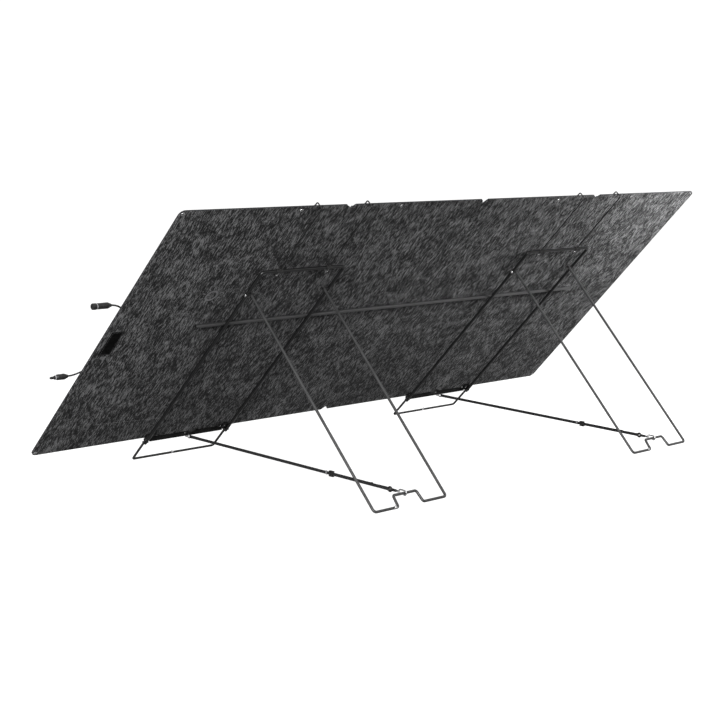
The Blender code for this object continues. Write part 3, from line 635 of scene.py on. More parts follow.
def loftMesh(name, rings, lengths=None):
    bm = bmesh.new()
    layer = bm.loops.layers.uv.new("surface")
    made = [[bm.verts.new(p) for p in ring] for ring in rings]
    count = len(rings[0])
    around = [0.0]
    for i in range(count):
        around.append(around[-1] + (Vector(rings[0][(i + 1) % count]) - Vector(rings[0][i])).length)
    lengths = lengths or [0.0] * len(rings)
    for j in range(len(made) - 1):
        for i in range(count):
            k = (i + 1) % count
            face = bm.faces.new((made[j][i], made[j][k], made[j + 1][k], made[j + 1][i]))
            near, far = lengths[j], lengths[j + 1]
            corners = ((around[i], near), (around[i + 1], near), (around[i + 1], far), (around[i], far))
            for loop, uv in zip(face.loops, corners):
                loop[layer].uv = uv
    bm.faces.new(made[0][::-1])
    bm.faces.new(made[-1])
    bmesh.ops.recalc_face_normals(bm, faces=bm.faces)
    return fromBmesh(name, bm)


def ribbonMesh(name, path, across, width, thickness):
    across = Vector(across).normalized()
    edge = thickness / 2
    section = []
    for sign in (1, -1):
        for i in range(5):
            section.append((sign * (width / 2 - edge) * (1 - i / 2), sign * edge))
        section.append((-sign * (width / 2), 0.0))
    rings, lengths, run = [], [], 0.0
    for i, point in enumerate(path):
        ahead = (path[min(i + 1, len(path) - 1)] - path[max(i - 1, 0)]).normalized()
        lift = across.cross(ahead)
        rings.append([point + across * a + lift * b for a, b in section])
        run += (point - path[i - 1]).length if i else 0.0
        lengths.append(run)
    return loftMesh(name, rings, lengths)


def roundedOutline(width, height, radius, steps=5):
    points = []
    for i, (x, y) in enumerate(((1, 1), (-1, 1), (-1, -1), (1, -1))):
        for k in range(steps + 1):
            angle = math.radians(90 * (i + k / steps))
            corner = (x * (width / 2 - radius), y * (height / 2 - radius))
            points.append((corner[0] + radius * math.cos(angle), corner[1] + radius * math.sin(angle)))
    return points


def softOutline(corners, steps=5):
    points = []
    for i, (x, y, radius) in enumerate(corners):
        corner = Vector((x, y, 0))
        before = Vector((*corners[i - 1][:2], 0))
        after = Vector((*corners[(i + 1) % len(corners)][:2], 0))
        points += bent([corner.lerp(before, 0.5), corner, corner.lerp(after, 0.5)], radius, steps)[1:-1]
    return [(p.x, p.y) for p in points]


def aimed(point, ahead, heading):
    ahead, heading = Vector(ahead).normalized(), Vector(heading)
    first = (heading - ahead * heading.dot(ahead)).normalized()
    return place(axes(first, ahead.cross(first)), point)


def dress(finish, *names):
    for name in names:
        for holder in nodes[name].material_slots:
            holder.material = finish


def ringPoints(radius, start, turn, steps):
    angles = [math.radians(start + turn * i / steps) for i in range(steps + 1)]
    return [Vector((0, radius * math.cos(a), radius * math.sin(a))) for a in angles]


onBack = place(backTurn, spot(0, 0))  # local x along the panel, y up the slope, z out of the back


# leads, their glands and their connectors: the wires leave the terminal box and turn round the left edge
leadSettings = {
    "radius": 2.6 * mm,
    "plane": -12.0 * mm,  # in front of the back
    "upper": [
        (0.037, 0.4664), (0.037, 0.4590), (0.037, 0.4500), (0.0362, 0.4390), (0.0335, 0.4265),
        (0.0280, 0.4145), (0.0195, 0.4040), (0.0080, 0.3945), (-0.0055, 0.3868), (-0.0180, 0.3824),
        (-0.0301, 0.3800),
    ],
    "lower": [
        (0.037, 0.6036), (0.037, 0.6110), (0.037, 0.6200), (0.0360, 0.6310), (0.0330, 0.6432),
        (0.0272, 0.6550), (0.0185, 0.6660), (0.0070, 0.6752), (-0.0062, 0.6823), (-0.0185, 0.6863),
        (-0.0300, 0.6873),
    ],
    "glandReach": 15.3 * mm,
    "gland": (
        (0, 15.0), (2.9, 15.0), (3.2, 14.8), (3.35, 13.6), (3.1, 13.3), (3.1, 12.8), (3.6, 12.5), (3.7, 11.4),
        (3.4, 11.1), (3.4, 10.7), (4.2, 10.4), (4.4, 9.8), (4.4, 7.2), (4.1, 6.8), (4.1, 6.0), (4.0, 5.8),
        (4.0, 0.1), (3.9, 0), (0, 0),
    ),
    "connectorStart": 0.6 * mm,  # past the end of the lead's route
    "socket": (
        (0, 62.0), (4.2, 62.0), (4.4, 62.3), (4.4, 63.0), (7.6, 63.0), (8.6, 62.6), (9.1, 61.6), (9.2, 60.2),
        (9.2, 52.2), (9.0, 51.6), (8.1, 51.2), (8.0, 50.6), (8.0, 47.8), (8.4, 47.2), (8.7, 46.6),
        (8.7, 34.0), (8.2, 33.6), (8.2, 32.4), (8.7, 32.0), (8.7, 12.2), (8.4, 11.0), (7.0, 7.6), (5.6, 4.0),
        (4.8, 2.0), (4.2, 0.3), (3.8, 0), (0, 0),
    ),
    "plug": (
        (0, 60.0), (2.9, 60.0), (3.3, 59.6), (3.9, 57.2), (4.0, 56.4), (4.0, 52.4), (3.7, 52.1), (3.7, 51.3),
        (4.0, 51.0), (4.0, 47.4), (4.3, 46.8), (5.8, 46.1), (6.0, 45.4), (6.0, 39.6), (6.6, 38.6),
        (8.2, 37.2), (8.5, 36.2), (8.5, 29.0), (8.0, 28.6), (8.0, 27.4), (8.5, 27.0), (8.5, 12.2),
        (8.2, 11.0), (6.9, 7.6), (5.5, 4.0), (4.8, 2.0), (4.2, 0.3), (3.8, 0), (0, 0),
    ),
    "ribs": {"socket": (9.0, 26.0, 8.6), "plug": (9.0, 22.0, 8.4)},  # from, to and radius, in mm
    "latch": (7.4 * mm, Vector((1.2 * mm, 2.6 * mm, 5 * mm)), 41 * mm),  # aside, half its size, along
    "seals": {
        "socket": ((8.02, 50.7), (8.5, 50.5), (8.75, 50.0), (8.75, 48.6), (8.5, 48.1), (8.02, 47.9)),
        "plug": ((6.02, 44.6), (6.4, 44.4), (6.55, 43.8), (6.55, 41.8), (6.4, 41.2), (6.02, 41.0)),
    },
}


def ribbedGrip(name, low, high, radius, turn, finish, count=14):
    ends = (-0.4 * mm, -0.5 * mm, low * mm + 4 * mm), (0.4 * mm, 0.5 * mm, high * mm)
    rib = slabMesh("rib", *ends, rounding=0.3 * mm)
    angles = [2 * math.pi * i / count for i in range(count)]
    out = [Vector((math.cos(a), math.sin(a), 0)) for a in angles]
    points = [turn @ (p * radius * mm) for p in out]
    facings = [turn.to_3x3() @ Vector((0, 0, 1))] * count
    return copiesMesh(name, rib, points, facings, [turn.to_3x3() @ p for p in out], finish)


def makeLeads():
    s = leadSettings
    radius = s["radius"]
    aside, size, middle = s["latch"]
    for which, fitting, outward in (("upper", "socket", 1), ("lower", "plug", -1)):
        path = curved([spot(x, down, s["plane"]) for x, down in s[which]], 2.5 * radius)
        exit = path[0]
        way = upSlope * outward
        shape = turnedMesh("gland", s["gland"], aimed(exit - way * s["glandReach"], way, along))
        gland = makePiece(f"{which}Gland", shape, plastic, "panel", [f"{which}_gland"])
        turn = aimed(path[-1] - along * s["connectorStart"], -along, outBack)
        parts = [turnedMesh("connector", s[fitting], turn, 40)]
        parts.append(ribbedGrip("grip", *s["ribs"][fitting], turn, plastic))
        for side in (-1, 1) if fitting == "socket" else ():
            centre = Vector((side * aside, 0, middle))
            parts.append(slabMesh("latch", centre - size, centre + size, turn, 0.8 * mm))
        shape = joinedMesh("connector", parts)
        connector = makePiece(f"{fitting}Connector", shape, plastic, "panel", [f"{fitting}_connector"])
        seal = s["seals"][fitting]
        shape = turnedMesh("seal", seal + seal[:1], turn)
        ring = makePiece(f"{fitting}Seal", shape, sealGreyAndKeeperHighlight, "panel")
        tube = tubeMesh("lead", path, radius, jacket, 20)
        lead = makePiece(f"{which}Lead", tube, jacket, "panel", [f"{which}_lead"])
    print("leads")


makeLeads()


# the four leaves: boards, the felt over their backs, the fabric in the folds, the cells and their film
leafSettings = {
    "felt": 1.2 * mm,
    "corner": 18 * mm,
    "sideNotch": (35 * mm, 22 * mm, 8 * mm),  # width at the edge, width of its floor, depth
    "middleNotch": (30 * mm, 8 * mm, 15 * mm),
    "foldCloth": 12 * mm,  # each side of the middle fold
    "cell": (166 * mm, 82.5 * mm),
    "cellGap": 1.5 * mm,
    "cellRows": 12,
    "busbars": 9,
    "eyelets": (
        (0.010, 0.010), (0.4355, 0.0134), (0.8357, 0.0102), (1.589, 0.0135), (1.9937, 0.0133),
        (2.353, 0.0080), (0.0113, 1.0443), (2.3540, 1.0443),
    ),
}
leaves = [panelBox(f"leaf_{i}") for i in (1, 2, 3, 4)]
folds = [(a[1].x + b[0].x) / 2 for a, b in zip(leaves, leaves[1:])]
panelHeight = leaves[0][1].y
panelEnd = leaves[3][1].x
leafDepth = -leaves[0][0].z
foldGap = leaves[1][0].x - leaves[0][1].x


def notchCorners(fold, top, halves=(-1, 1)):
    width, floor, depth = leafSettings["middleNotch" if fold == 1 else "sideNotch"]
    edge, inner = (0, -depth) if top else (-panelHeight, depth - panelHeight)
    corners = []
    for side in halves:
        outside, inside = folds[fold] + side * width / 2, folds[fold] + side * floor / 2
        pair = [(outside, edge, 4 * mm), (inside, inner, 3 * mm)]
        corners += pair if side == halves[0] else pair[::-1]
    return corners


# The outline of a stretch of the panel, from one x to another, round its outer corners and its notches.
def stretchOutline(start, end, folded=()):
    corner = leafSettings["corner"]
    inside = [i for i in folded if start + 1 * mm < folds[i] < end - 1 * mm]
    top = [c for i in inside for c in notchCorners(i, True)]
    foot = [c for i in inside[::-1] for c in notchCorners(i, False, (1, -1))]

    def corners(x, upper):
        if x < 1 * mm or x > panelEnd - 1 * mm:
            return [(x, 0 if upper else -panelHeight, corner)]
        fold = min(range(3), key=lambda i: abs(folds[i] - x))
        side = 1 if x > folds[fold] else -1
        width, floor, depth = leafSettings["middleNotch" if fold == 1 else "sideNotch"]
        edge, inner = (0, -depth) if upper else (-panelHeight, depth - panelHeight)
        found = [(folds[fold] + side * width / 2, edge, 4 * mm)]
        reach = abs(x - folds[fold])
        if reach < floor / 2 - 0.1 * mm:
            found += [(folds[fold] + side * floor / 2, inner, 3 * mm), (x, inner, 0.01 * mm)]
        elif reach < width / 2:
            share = (width / 2 - reach) / (width / 2 - floor / 2)
            found += [(x, edge + (inner - edge) * share, 0.01 * mm)]
        return found

    left, right = corners(start, True), corners(end, True)
    lowRight, lowLeft = corners(end, False), corners(start, False)
    return softOutline(left[::-1] + top + right + lowRight[::-1] + foot + lowLeft, 6)


def makeBoards():
    for i, (low, high) in enumerate(leaves):
        outline = stretchOutline(low.x, high.x)
        board = plateMesh("board", outline, -leafDepth, -leafSettings["felt"], onBack, 0.7 * mm)
        body = "panel" if i < 2 else "right_half"
        makePiece(f"leafBoard{i + 1}", board, boardCloth, body, [f"leaf_{i + 1}"], 15)
    print("boards")


def makeFeltBack():
    reach = leafSettings["foldCloth"]
    for name, start, end, folded, body, strip in (
        ("feltBackLeft", 0.0, folds[1] - reach, (0,), "panel", "fold_strip_1"),
        ("feltBackRight", folds[1] + reach, panelEnd, (2,), "right_half", "fold_strip_3"),
    ):
        outline = stretchOutline(start, end, folded)
        mesh = plateMesh("felt", outline, -leafSettings["felt"], 0, onBack)
        bm = bmesh.new()
        bm.from_mesh(mesh)
        joins = (spot(folds[1] - reach, 0).x, spot(folds[1] + reach, 0).x)
        rims = [
            e for e in bm.edges
            if all(abs(onPanel(v.co).z) < 0.01 * mm for v in e.verts)
            and not any(all(abs(v.co.x - x) < 0.1 * mm for v in e.verts) for x in joins)
        ]
        bmesh.ops.bevel(bm, geom=rims, offset=0.7 * mm, segments=3, affect="EDGES", profile=0.5)
        bm.to_mesh(mesh)
        bm.free()
        back = makePiece(name, mesh, felt, body, [strip], 15)

    # the cloth of the middle fold turns round the edge of the boards when the panel is shut; here it is a
    # flat strip across the gap, fixed to neither half
    thick = leafSettings["felt"]
    columns = [-reach, -reach * 0.7] + [foldGap / 2 * (i / 6 - 1) for i in range(13)] + [reach * 0.7, reach]
    rows = 24
    rings = []
    width, floor, depth = leafSettings["middleNotch"]
    for offset in columns:
        share = min(1.0, max(0.0, (width / 2 - abs(offset)) / (width / 2 - floor / 2)))
        ends = (depth * share, panelHeight - depth * share)
        levels = [ends[0] + (ends[1] - ends[0]) * k / rows for k in range(rows + 1)]
        ring = [spot(folds[1] + offset, down, 0) for down in levels]
        rings.append(ring + [spot(folds[1] + offset, down, -thick) for down in reversed(levels)])
    cloth = makePiece("foldCloth", loftMesh("cloth", rings), felt, None, ["fold_strip_2"], 60)
    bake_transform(cloth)
    print("felt")


def makeCells():
    wide, tall = leafSettings["cell"]
    gap, rows, bars = leafSettings["cellGap"], leafSettings["cellRows"], leafSettings["busbars"]
    chamfer = 8 * mm
    outline = [
        (wide / 2 - chamfer, tall / 2), (wide / 2, tall / 2 - chamfer), (wide / 2, -tall / 2),
        (-wide / 2, -tall / 2), (-wide / 2, tall / 2 - chamfer), (-wide / 2 + chamfer, tall / 2),
    ]
    shape = plateMesh("cell", outline, -0.1 * mm, 0.12 * mm, Matrix())
    ends = (-0.45 * mm, -tall / 2 + 1 * mm, 0.05 * mm), (0.45 * mm, tall / 2 - 1 * mm, 0.2 * mm)
    ribbon = slabMesh("ribbon", *ends, rounding=0.06 * mm, steps=1)
    ends = (-1.5 * (wide + gap), -2 * mm, 0.0), (1.5 * (wide + gap), 2 * mm, 0.15 * mm)
    collector = slabMesh("collector", *ends, rounding=0.05 * mm, steps=1)
    for body, chosen in (("panel", (0, 1)), ("right_half", (2, 3))):
        cells, ribbons, collectors = [], [], []
        for i in chosen:
            low, high = panelBox(f"cell_laminate_{i + 1}")
            middle = (low.x + high.x) / 2
            for column in range(3):
                for row in range(rows):
                    down = panelHeight / 2 + (row - (rows - 1) / 2) * (tall + gap)
                    x = middle + (column - 1) * (wide + gap)
                    cells.append(spot(x, down, low.z))
                    places = [x + (k + 0.5 - bars / 2) * wide / bars for k in range(bars)]
                    ribbons += [spot(at, down, low.z) for at in places]
            for end in (-1, 1):
                down = panelHeight / 2 + end * (rows * (tall + gap) / 2 + 2.2 * mm)
                collectors.append(spot(middle, down, low.z))
        for label, source, points, finish in (
            ("cells", shape, cells, cellBlue),
            ("cellRibbons", ribbon, ribbons, ribbonMetal),
            ("collectorRibbons", collector, collectors, ribbonMetal),
        ):
            count = len(points)
            mesh = copiesMesh(label, source.copy(), points, [-outBack] * count, [along] * count, finish)
            makePiece(label + ("Left" if body == "panel" else "Right"), mesh, finish, body)
    dress(film, *[f"cell_laminate_{i}" for i in (1, 2, 3, 4)])
    print("cells")


def makeEyelets():
    ring = [
        (2.6, 0.9), (2.9, 1.15), (3.6, 1.3), (4.6, 1.2), (5.4, 0.8), (5.7, 0.2), (5.7, -0.1), (2.6, -0.1),
        (2.6, 0.9),
    ]
    core = [(0, 0.35), (2.2, 0.35), (2.65, 0.2), (2.65, -0.1), (0, -0.1)]
    for label, profile, finish in (("eyelets", ring, steel), ("eyeletCores", core, plastic)):
        for body in ("panel", "right_half"):
            chosen = [p for p in leafSettings["eyelets"] if (p[0] < folds[1]) == (body == "panel")]
            points = [spot(x, down, out) for out in (0, -leafDepth) for x, down in chosen]
            facings = [outBack] * len(chosen) + [-outBack] * len(chosen)
            shape = turnedMesh(label, profile, steps=24)
            mesh = copiesMesh(label, shape, points, facings, [along] * len(points), finish)
            makePiece(label + ("Left" if body == "panel" else "Right"), mesh, finish, body)
    print("eyelets")


makeBoards()
makeFeltBack()
makeCells()
makeEyelets()


# what is sewn or printed on the back
backSettings = {
    "patchGrowth": (7 * mm, 3 * mm, 2 * mm),  # wider, taller and to the left of the node
    "patchHem": 5 * mm,
    "lift": 0.05 * mm,  # of a seam's line off the felt
    "pocketSeam": [(0.1743, 0.9402), (0.4336, 0.9564)],
    "sign": (0.306, 0.362),
    "signSize": 36 * mm,
    "signRays": 10,
    "inkThickness": 0.12 * mm,
    "tack": 9 * mm,
    "tackInset": 16 * mm,
    "tackSpacing": 1.6 * mm,
}


def makePatch():
    s = backSettings
    low, high = panelBox("cable_patch")
    wider, taller, left = s["patchGrowth"]
    width, height, thick = high.x - low.x + wider, high.y - low.y + taller, high.z - low.z
    turn = place(backTurn, spot((low.x + high.x) / 2 - left, (low.y + high.y) / 2, low.z))
    cloth = plateMesh("patch", roundedOutline(width, height, 2 * mm), -0.2 * mm, thick, turn, 0.5 * mm)
    makePiece("cablePatch", cloth, pile, "panel", ["cable_patch"], 15)
    hem = roundedOutline(width - s["patchHem"], height - s["patchHem"], 1 * mm, 3)
    border = [turn @ Vector((x, y, thick)) for x, y in hem]
    stitches = stitchMesh("stitches", border, outBack, darkThread, 3.4 * mm, 2.6 * mm, 0.32 * mm, True)
    makePiece("patchStitches", stitches, darkThread, "panel")


def makeBackSewing():
    s = backSettings
    ends = [spot(*p, s["lift"]) for p in s["pocketSeam"]]
    seam = stitchMesh("seam", ends, outBack, paleThread, 4.5 * mm, 3.2 * mm, 0.42 * mm)
    makePiece("pocketSeam", seam, paleThread, "panel")
    for i, body in ((0, "panel"), (2, "right_half")):
        lines = []
        for down in (s["tackInset"], panelHeight - s["tackInset"]):
            for k in range(3):
                level = down + (k - 1) * s["tackSpacing"]
                line = [spot(folds[i] + way * s["tack"] / 2, level, s["lift"]) for way in (-1, 1)]
                lines.append(stitchMesh("tack", line, outBack, darkThread, 1.5 * mm, 2.4 * mm, 0.4 * mm))
        name = "foldTacks" + ("Left" if i == 0 else "Right")
        makePiece(name, joinedMesh("tacks", lines), darkThread, body)


def makeSign():
    size, count, thick = backSettings["signSize"], backSettings["signRays"], backSettings["inkThickness"]
    centre = spot(*backSettings["sign"])
    outer, inner, height = 0.62 * size / mm, 0.44 * size / mm, thick / mm
    ring = [(outer, 0), (outer, height), (inner, height), (inner, 0), (outer, 0)]
    parts = [turnedMesh("disc", ring, place(backTurn, centre), 48)]
    corners = [(-0.05, 0.78), (0.05, 0.78), (0.05, 1.1), (-0.05, 1.1)]
    outline = softOutline([(x * size, y * size, 0.04 * size) for x, y in corners])
    ray = plateMesh("ray", outline, -0.05 * mm, thick, Matrix())
    angles = [2 * math.pi * i / count for i in range(count)]
    headings = [backTurn @ Vector((math.cos(a), math.sin(a), 0)) for a in angles]
    parts.append(copiesMesh("rays", ray, [centre] * count, [outBack] * count, headings, paleThread))
    makePiece("sunSign", joinedMesh("sign", parts), signInk, "panel")


signInk = makeCoated("signInk", "panel_felt", (0.16, 0.16, 0.165), 0.8, 1500.0, 0.1, 0.3, bump=0.5)
makePatch()
makeBackSewing()
makeSign()
print("back details")


# the terminal box on the sun side
boxSettings = {
    "flangeReach": 1.5 * mm,
    "flangeThickness": 2 * mm,
    "ridges": 5,
    "ridgeSpacing": 9 * mm,
    "ridgeInset": 7 * mm,
    "ridgeSize": (1 * mm, 0.5 * mm),  # half its width, and how far it stands out
    "screw": ((0, 0.5), (0.9, 0.5), (1.0, 0.9), (1.9, 0.75), (2.3, 0.3), (2.3, -0.2), (0, -0.2)),
    "screwInset": (4 * mm, 4.5 * mm),
}


def makeTerminalBox():
    s = boxSettings
    low, high = panelBox("terminal_box")
    lidLow, lidHigh = panelBox("terminal_box_lid")

    def slab(a, b, rounding):
        return slabMesh("box", (a.x, -b.y, a.z), (b.x, -a.y, b.z), onBack, rounding, 3)

    reach = s["flangeReach"]
    inner = low + Vector((-reach, -reach, high.z - low.z - s["flangeThickness"]))
    flange = slab(inner, high + Vector((reach, reach, 0)), 0.6 * mm)
    box = joinedMesh("box", [slab(low, high, 1.2 * mm), flange])
    makePiece("terminalBox", box, plastic, "panel", ["terminal_box"])
    lid = [slab(lidLow, lidHigh, 1.0 * mm)]
    half, rise = s["ridgeSize"]
    for i in range(s["ridges"]):
        middle = (lidLow.y + lidHigh.y) / 2 + (i - (s["ridges"] - 1) / 2) * s["ridgeSpacing"]
        start = Vector((lidLow.x + s["ridgeInset"], middle - half, lidLow.z - rise))
        lid.append(slab(start, Vector((lidHigh.x - s["ridgeInset"], middle + half, lidHigh.z)), 0.4 * mm))
    makePiece("terminalLid", joinedMesh("lid", lid), plastic, "panel", ["terminal_box_lid"])
    aside, inset = s["screwInset"]
    columns, rows = (lidLow.x + aside, lidHigh.x - aside), (lidLow.y + inset, lidHigh.y - inset)
    points = [spot(x, down, lidLow.z) for x in columns for down in rows]
    shape = turnedMesh("screw", s["screw"], steps=16)
    screws = copiesMesh("screws", shape, points, [-outBack] * 4, [along] * 4, steel)
    makePiece("lidScrews", screws, steel, "panel")
    print("terminal box")


makeTerminalBox()


# the stiffening rod, one section on each half, with a plug in each outer end
coatThickness = 0.6 * mm  # on every tube


def plugShape(radius):
    radius /= mm
    outline = [
        (0, 2.2), (radius * 0.5, 2.15), (radius * 0.85, 1.7), (radius + 0.25, 0.8), (radius + 0.25, -3.6),
        (radius * 0.9, -3.9), (0, -3.9),
    ]
    return turnedMesh("plug", outline, steps=24)


def makeRod():
    for name, side in (("rodLeft", "left"), ("rodRight", "right")):
        node, body = f"{side}_rod_section", halfOf[side]
        low, high = panelBox(node)
        down, out, radius = (low.y + high.y) / 2, (low.z + high.z) / 2, (high.y - low.y) / 2
        ends = [spot(low.x, down, out), spot(high.x, down, out)]
        makePiece(name, tubeMesh(name, ends, radius + coatThickness, tubeCoatPaintedReflection, 28), tubeCoatPaintedReflection, body, [node])
        end, way = (ends[0], -along) if side == "left" else (ends[1], along)
        mesh = plugShape(radius)
        mesh.transform(aimed(end, way, outBack))
        makePiece(name + "Plug", mesh, plastic, body)
    print("rod")


makeRod()


# the stands
standSettings = {
    "frameBend": 12 * mm,
    "legAngle": 86.5,  # from the slope
    "legLength": 0.761,
    "legHalf": 0.1465,
    "legRadius": 3.5 * mm,
    "legTail": 11 * mm,
    "legBend": 10 * mm,
    "jogHalf": 51 * mm,
    "jogTopHalf": 47 * mm,
    "jogHeight": 38 * mm,
    "jogBend": 7 * mm,
    "footTail": 3 * mm,
    "footSkew": 5 * mm,
    "footBend": 8 * mm,
    "footEnd": (1.1515, 0.012),  # down the slope, out of the back
    "footShift": -8.2 * mm,
    "footRadius": 3.3 * mm,
    "hookSpacing": 0.200,
    "hookFront": -10.5 * mm,
    "hookOver": -7 * mm,
    "hookTip": 11 * mm,
    "hookRadius": 2 * mm,
    "wire": 2.1 * mm,
    "eye": 5.5 * mm,
    "strapStart": (1.0525, 0.0245),
    "strapAngle": 132.538,
    "strapLength": 0.9108,
    "strapWidth": 10 * mm,
    "sliderAt": 0.6695,
    "swivelReach": 57.1 * mm,
    "pinGap": 0.3 * mm,
}


class Stand:
    def __init__(self, side):
        self.side, self.body = side, halfOf[side]
        low, high = panelBox(f"{side}_frame")
        self.centre, self.radius = (low.x + high.x) / 2, (high.z - low.z) / 2
        self.half = (high.x - low.x) / 2 - self.radius
        self.top, self.end, self.out = low.y + self.radius, high.y, (low.z + high.z) / 2
        self.legPivot = onPanel(Vector(joints[f"{side}_leg_fold"]["pos_m"]))
        self.footPivot = onPanel(Vector(joints[f"{side}_foot_fold"]["pos_m"]))
        angle = math.radians(standSettings["legAngle"])
        self.legWay = -upSlope * math.cos(angle) + outBack * math.sin(angle)
        angle = math.radians(standSettings["strapAngle"])
        self.strapWay = -upSlope * math.cos(angle) + outBack * math.sin(angle)
        self.strapTurn = place(axes(along, self.strapWay), self.at(0, *standSettings["strapStart"]))
        self.legTurn = place(axes(along, self.legWay), self.at(0, self.legPivot.y, self.legPivot.z))
        jog = self.legTurn @ Vector((0, standSettings["legLength"] - standSettings["jogHeight"], 0))
        self.hookTurn = place(axes(along, self.strapWay), jog)

    def at(self, x, down, out):
        return spot(self.centre + x, down, out)


def makeFrame(stand):
    half, top, end = stand.half, stand.top, stand.end
    corners = [(-half, end), (-half, top), (half, top), (half, end)]
    path = bent([stand.at(x, down, stand.out) for x, down in corners], standSettings["frameBend"], 14)
    mesh = tubeMesh("frame", path, stand.radius + coatThickness, tubeCoat, 24)
    makePiece(f"{stand.side}Frame", mesh, tubeCoat, stand.body, [f"{stand.side}_frame"])
    ends = [stand.at(x, end, stand.out) for x in (-half, half)]
    mesh = copiesMesh("plugs", plugShape(stand.radius), ends, [-upSlope] * 2, [along] * 2, plastic)
    makePiece(f"{stand.side}FramePlugs", mesh, plastic, stand.body)


def makeLeg(stand):
    s = standSettings
    long, shoulder, node = s["legLength"], -0.1, f"{stand.side}_leg"
    corners = [(-s["legHalf"], -s["legTail"]), (-s["legHalf"], long), (shoulder, long)]
    half = bent([(x, y, 0) for x, y in corners], s["legBend"], 12)[:-1]
    top = long - s["jogHeight"]
    jog = [(shoulder, long), (-s["jogHalf"], long), (-s["jogTopHalf"], top), (0, top)]
    half += bent([(x, y, 0) for x, y in jog], s["jogBend"], 8)[:-1]
    path = half + [Vector((-p.x, p.y, 0)) for p in reversed(half)]
    mesh = tubeMesh("leg", [stand.legTurn @ p for p in path], s["legRadius"] + coatThickness, tubeCoatPaintedReflection, 24)
    makePiece(f"{stand.side}Leg", mesh, tubeCoatPaintedReflection, node, [node])
    ends = [stand.legTurn @ Vector((x, -s["legTail"], 0)) for x in (-s["legHalf"], s["legHalf"])]
    mesh = copiesMesh("plugs", plugShape(s["legRadius"]), ends, [-stand.legWay] * 2, [along] * 2, plastic)
    makePiece(f"{stand.side}LegPlugs", mesh, plastic, node)


def makeFoot(stand):
    s = standSettings
    down, out = s["footEnd"][0] - stand.footPivot.y, s["footEnd"][1] - stand.out
    long = math.hypot(down, out)
    way = (-upSlope * down + outBack * out) / long
    turn = place(axes(along, way), stand.at(0, stand.footPivot.y, stand.out))
    left, right = -stand.half + s["footShift"], stand.half + s["footShift"]
    tail, skew, node = s["footTail"], s["footSkew"], f"{stand.side}_foot"
    back = skew / long * tail
    corners = [(left - back, -tail), (left + skew, long), (right + skew, long), (right - back, -tail)]
    path = [turn @ p for p in bent([(x, y, 0) for x, y in corners], s["footBend"], 12)]
    mesh = tubeMesh("foot", path, s["footRadius"] + coatThickness, tubeCoat, 24)
    makePiece(f"{stand.side}Foot", mesh, tubeCoat, node, [node])


# A pin is a domed steel head on its shank; the washer under its far end and the collar are black.
def pinShapes(low, high, collar=()):
    low, high = low / mm, high / mm
    dome = [(0, 2.6), (1.8, 2.5), (3.6, 1.9), (4.9, 1.0), (5.3, 0.3), (5.3, 0), (2.2, 0)]
    pin = [(r, high + z) for r, z in dome] + [(2.2, low), (0, low)]
    flat = [(0, 0), (4.6, 0), (4.6, -0.6), (3.9, -1.6), (1.5, -2.1), (0, -2.1)]
    blackParts = [turnedMesh("washer", [(r, low + z) for r, z in flat], steps=20)]
    if collar:
        inner, outer = collar[0] / mm, collar[1] / mm
        ring = [(2.25, inner), (2.25, outer), (3.7, outer)]
        ring += [(4.0, outer - 0.4), (4.0, inner + 0.4), (3.7, inner)]
        blackParts.append(turnedMesh("collar", ring + ring[:1], steps=20))
    return turnedMesh("pin", pin, steps=20), joinedMesh("washers", blackParts)


def makePins(stand):
    s = standSettings
    gap, shift, between = s["pinGap"], s["footShift"], stand.half - s["legHalf"]
    collar = (s["legRadius"] + gap, between - stand.radius - gap)
    legPin = pinShapes(-s["legRadius"] - gap, between + stand.radius + gap, collar)
    footPin = pinShapes(-s["footRadius"] - gap, -shift + stand.radius + gap)
    hubs = [stand.at(x, stand.legPivot.y, stand.legPivot.z) for x in (-s["legHalf"], s["legHalf"])]
    feet = [stand.at(x + shift, stand.footPivot.y, stand.out) for x in (-stand.half, stand.half)]
    made = ([], [])
    for shapes, points, facings in ((legPin, hubs, [-along, along]), (footPin, feet, [along] * 2)):
        for meshes, shape, finish in zip(made, shapes, (steel, plastic)):
            meshes.append(copiesMesh("pins", shape, points, facings, [outBack] * 2, finish))
    names = [f"{stand.side}_{kind}_pin_{end}" for kind in ("leg", "foot") for end in sides]
    makePiece(f"{stand.side}Pins", joinedMesh("pins", made[0]), steel, stand.body, names)
    makePiece(f"{stand.side}Collars", joinedMesh("collars", made[1]), plastic, stand.body)


def cutMesh(mesh, cutter):
    target, tool = bpy.data.objects.new("target", mesh), bpy.data.objects.new("tool", cutter)
    for item in (target, tool):
        bpy.context.scene.collection.objects.link(item)
    cut = target.modifiers.new("cut", "BOOLEAN")
    cut.object, cut.solver = tool, "EXACT"
    result = bpy.data.meshes.new_from_object(target.evaluated_get(bpy.context.evaluated_depsgraph_get()))
    for item in (target, tool):
        bpy.data.objects.remove(item)
    return result


# The tray joins the feet of the frame; the strap's hook goes through a hole in its floor.
traySettings = {
    "short": 16.5 * mm,  # of the frame's tubes, at each end
    "wall": 2.0 * mm,
    "lip": 13.5 * mm,
    "under": 1.0625,  # its floor, down the slope
    "front": -12.5 * mm,
    "back": 14.5 * mm,
    "hole": ((0, 6), (3, 6), (3, -6), (0, -6)),
    "holeAt": (1.0615, 4.5 * mm),
    "bracket": (-20 * mm, 2 * mm),  # its ends, from the middle of the frame's tube
    "bracketHeight": 26.5 * mm,
    "bracketOut": (1.5 * mm, 11.1 * mm),
    "screw": ((0, 0.5), (0.8, 0.5), (0.9, 1.0), (1.8, 0.85), (2.4, 0.3), (2.4, -0.2), (0, -0.2)),
    "screwInset": (14 * mm, 19 * mm),
    "hookRoute": ((1.0605, 0.0183), (1.0660, 0.0148), (1.0662, 0.0075), (1.0625, 0.0050), (1.0560, 0.0043)),
}


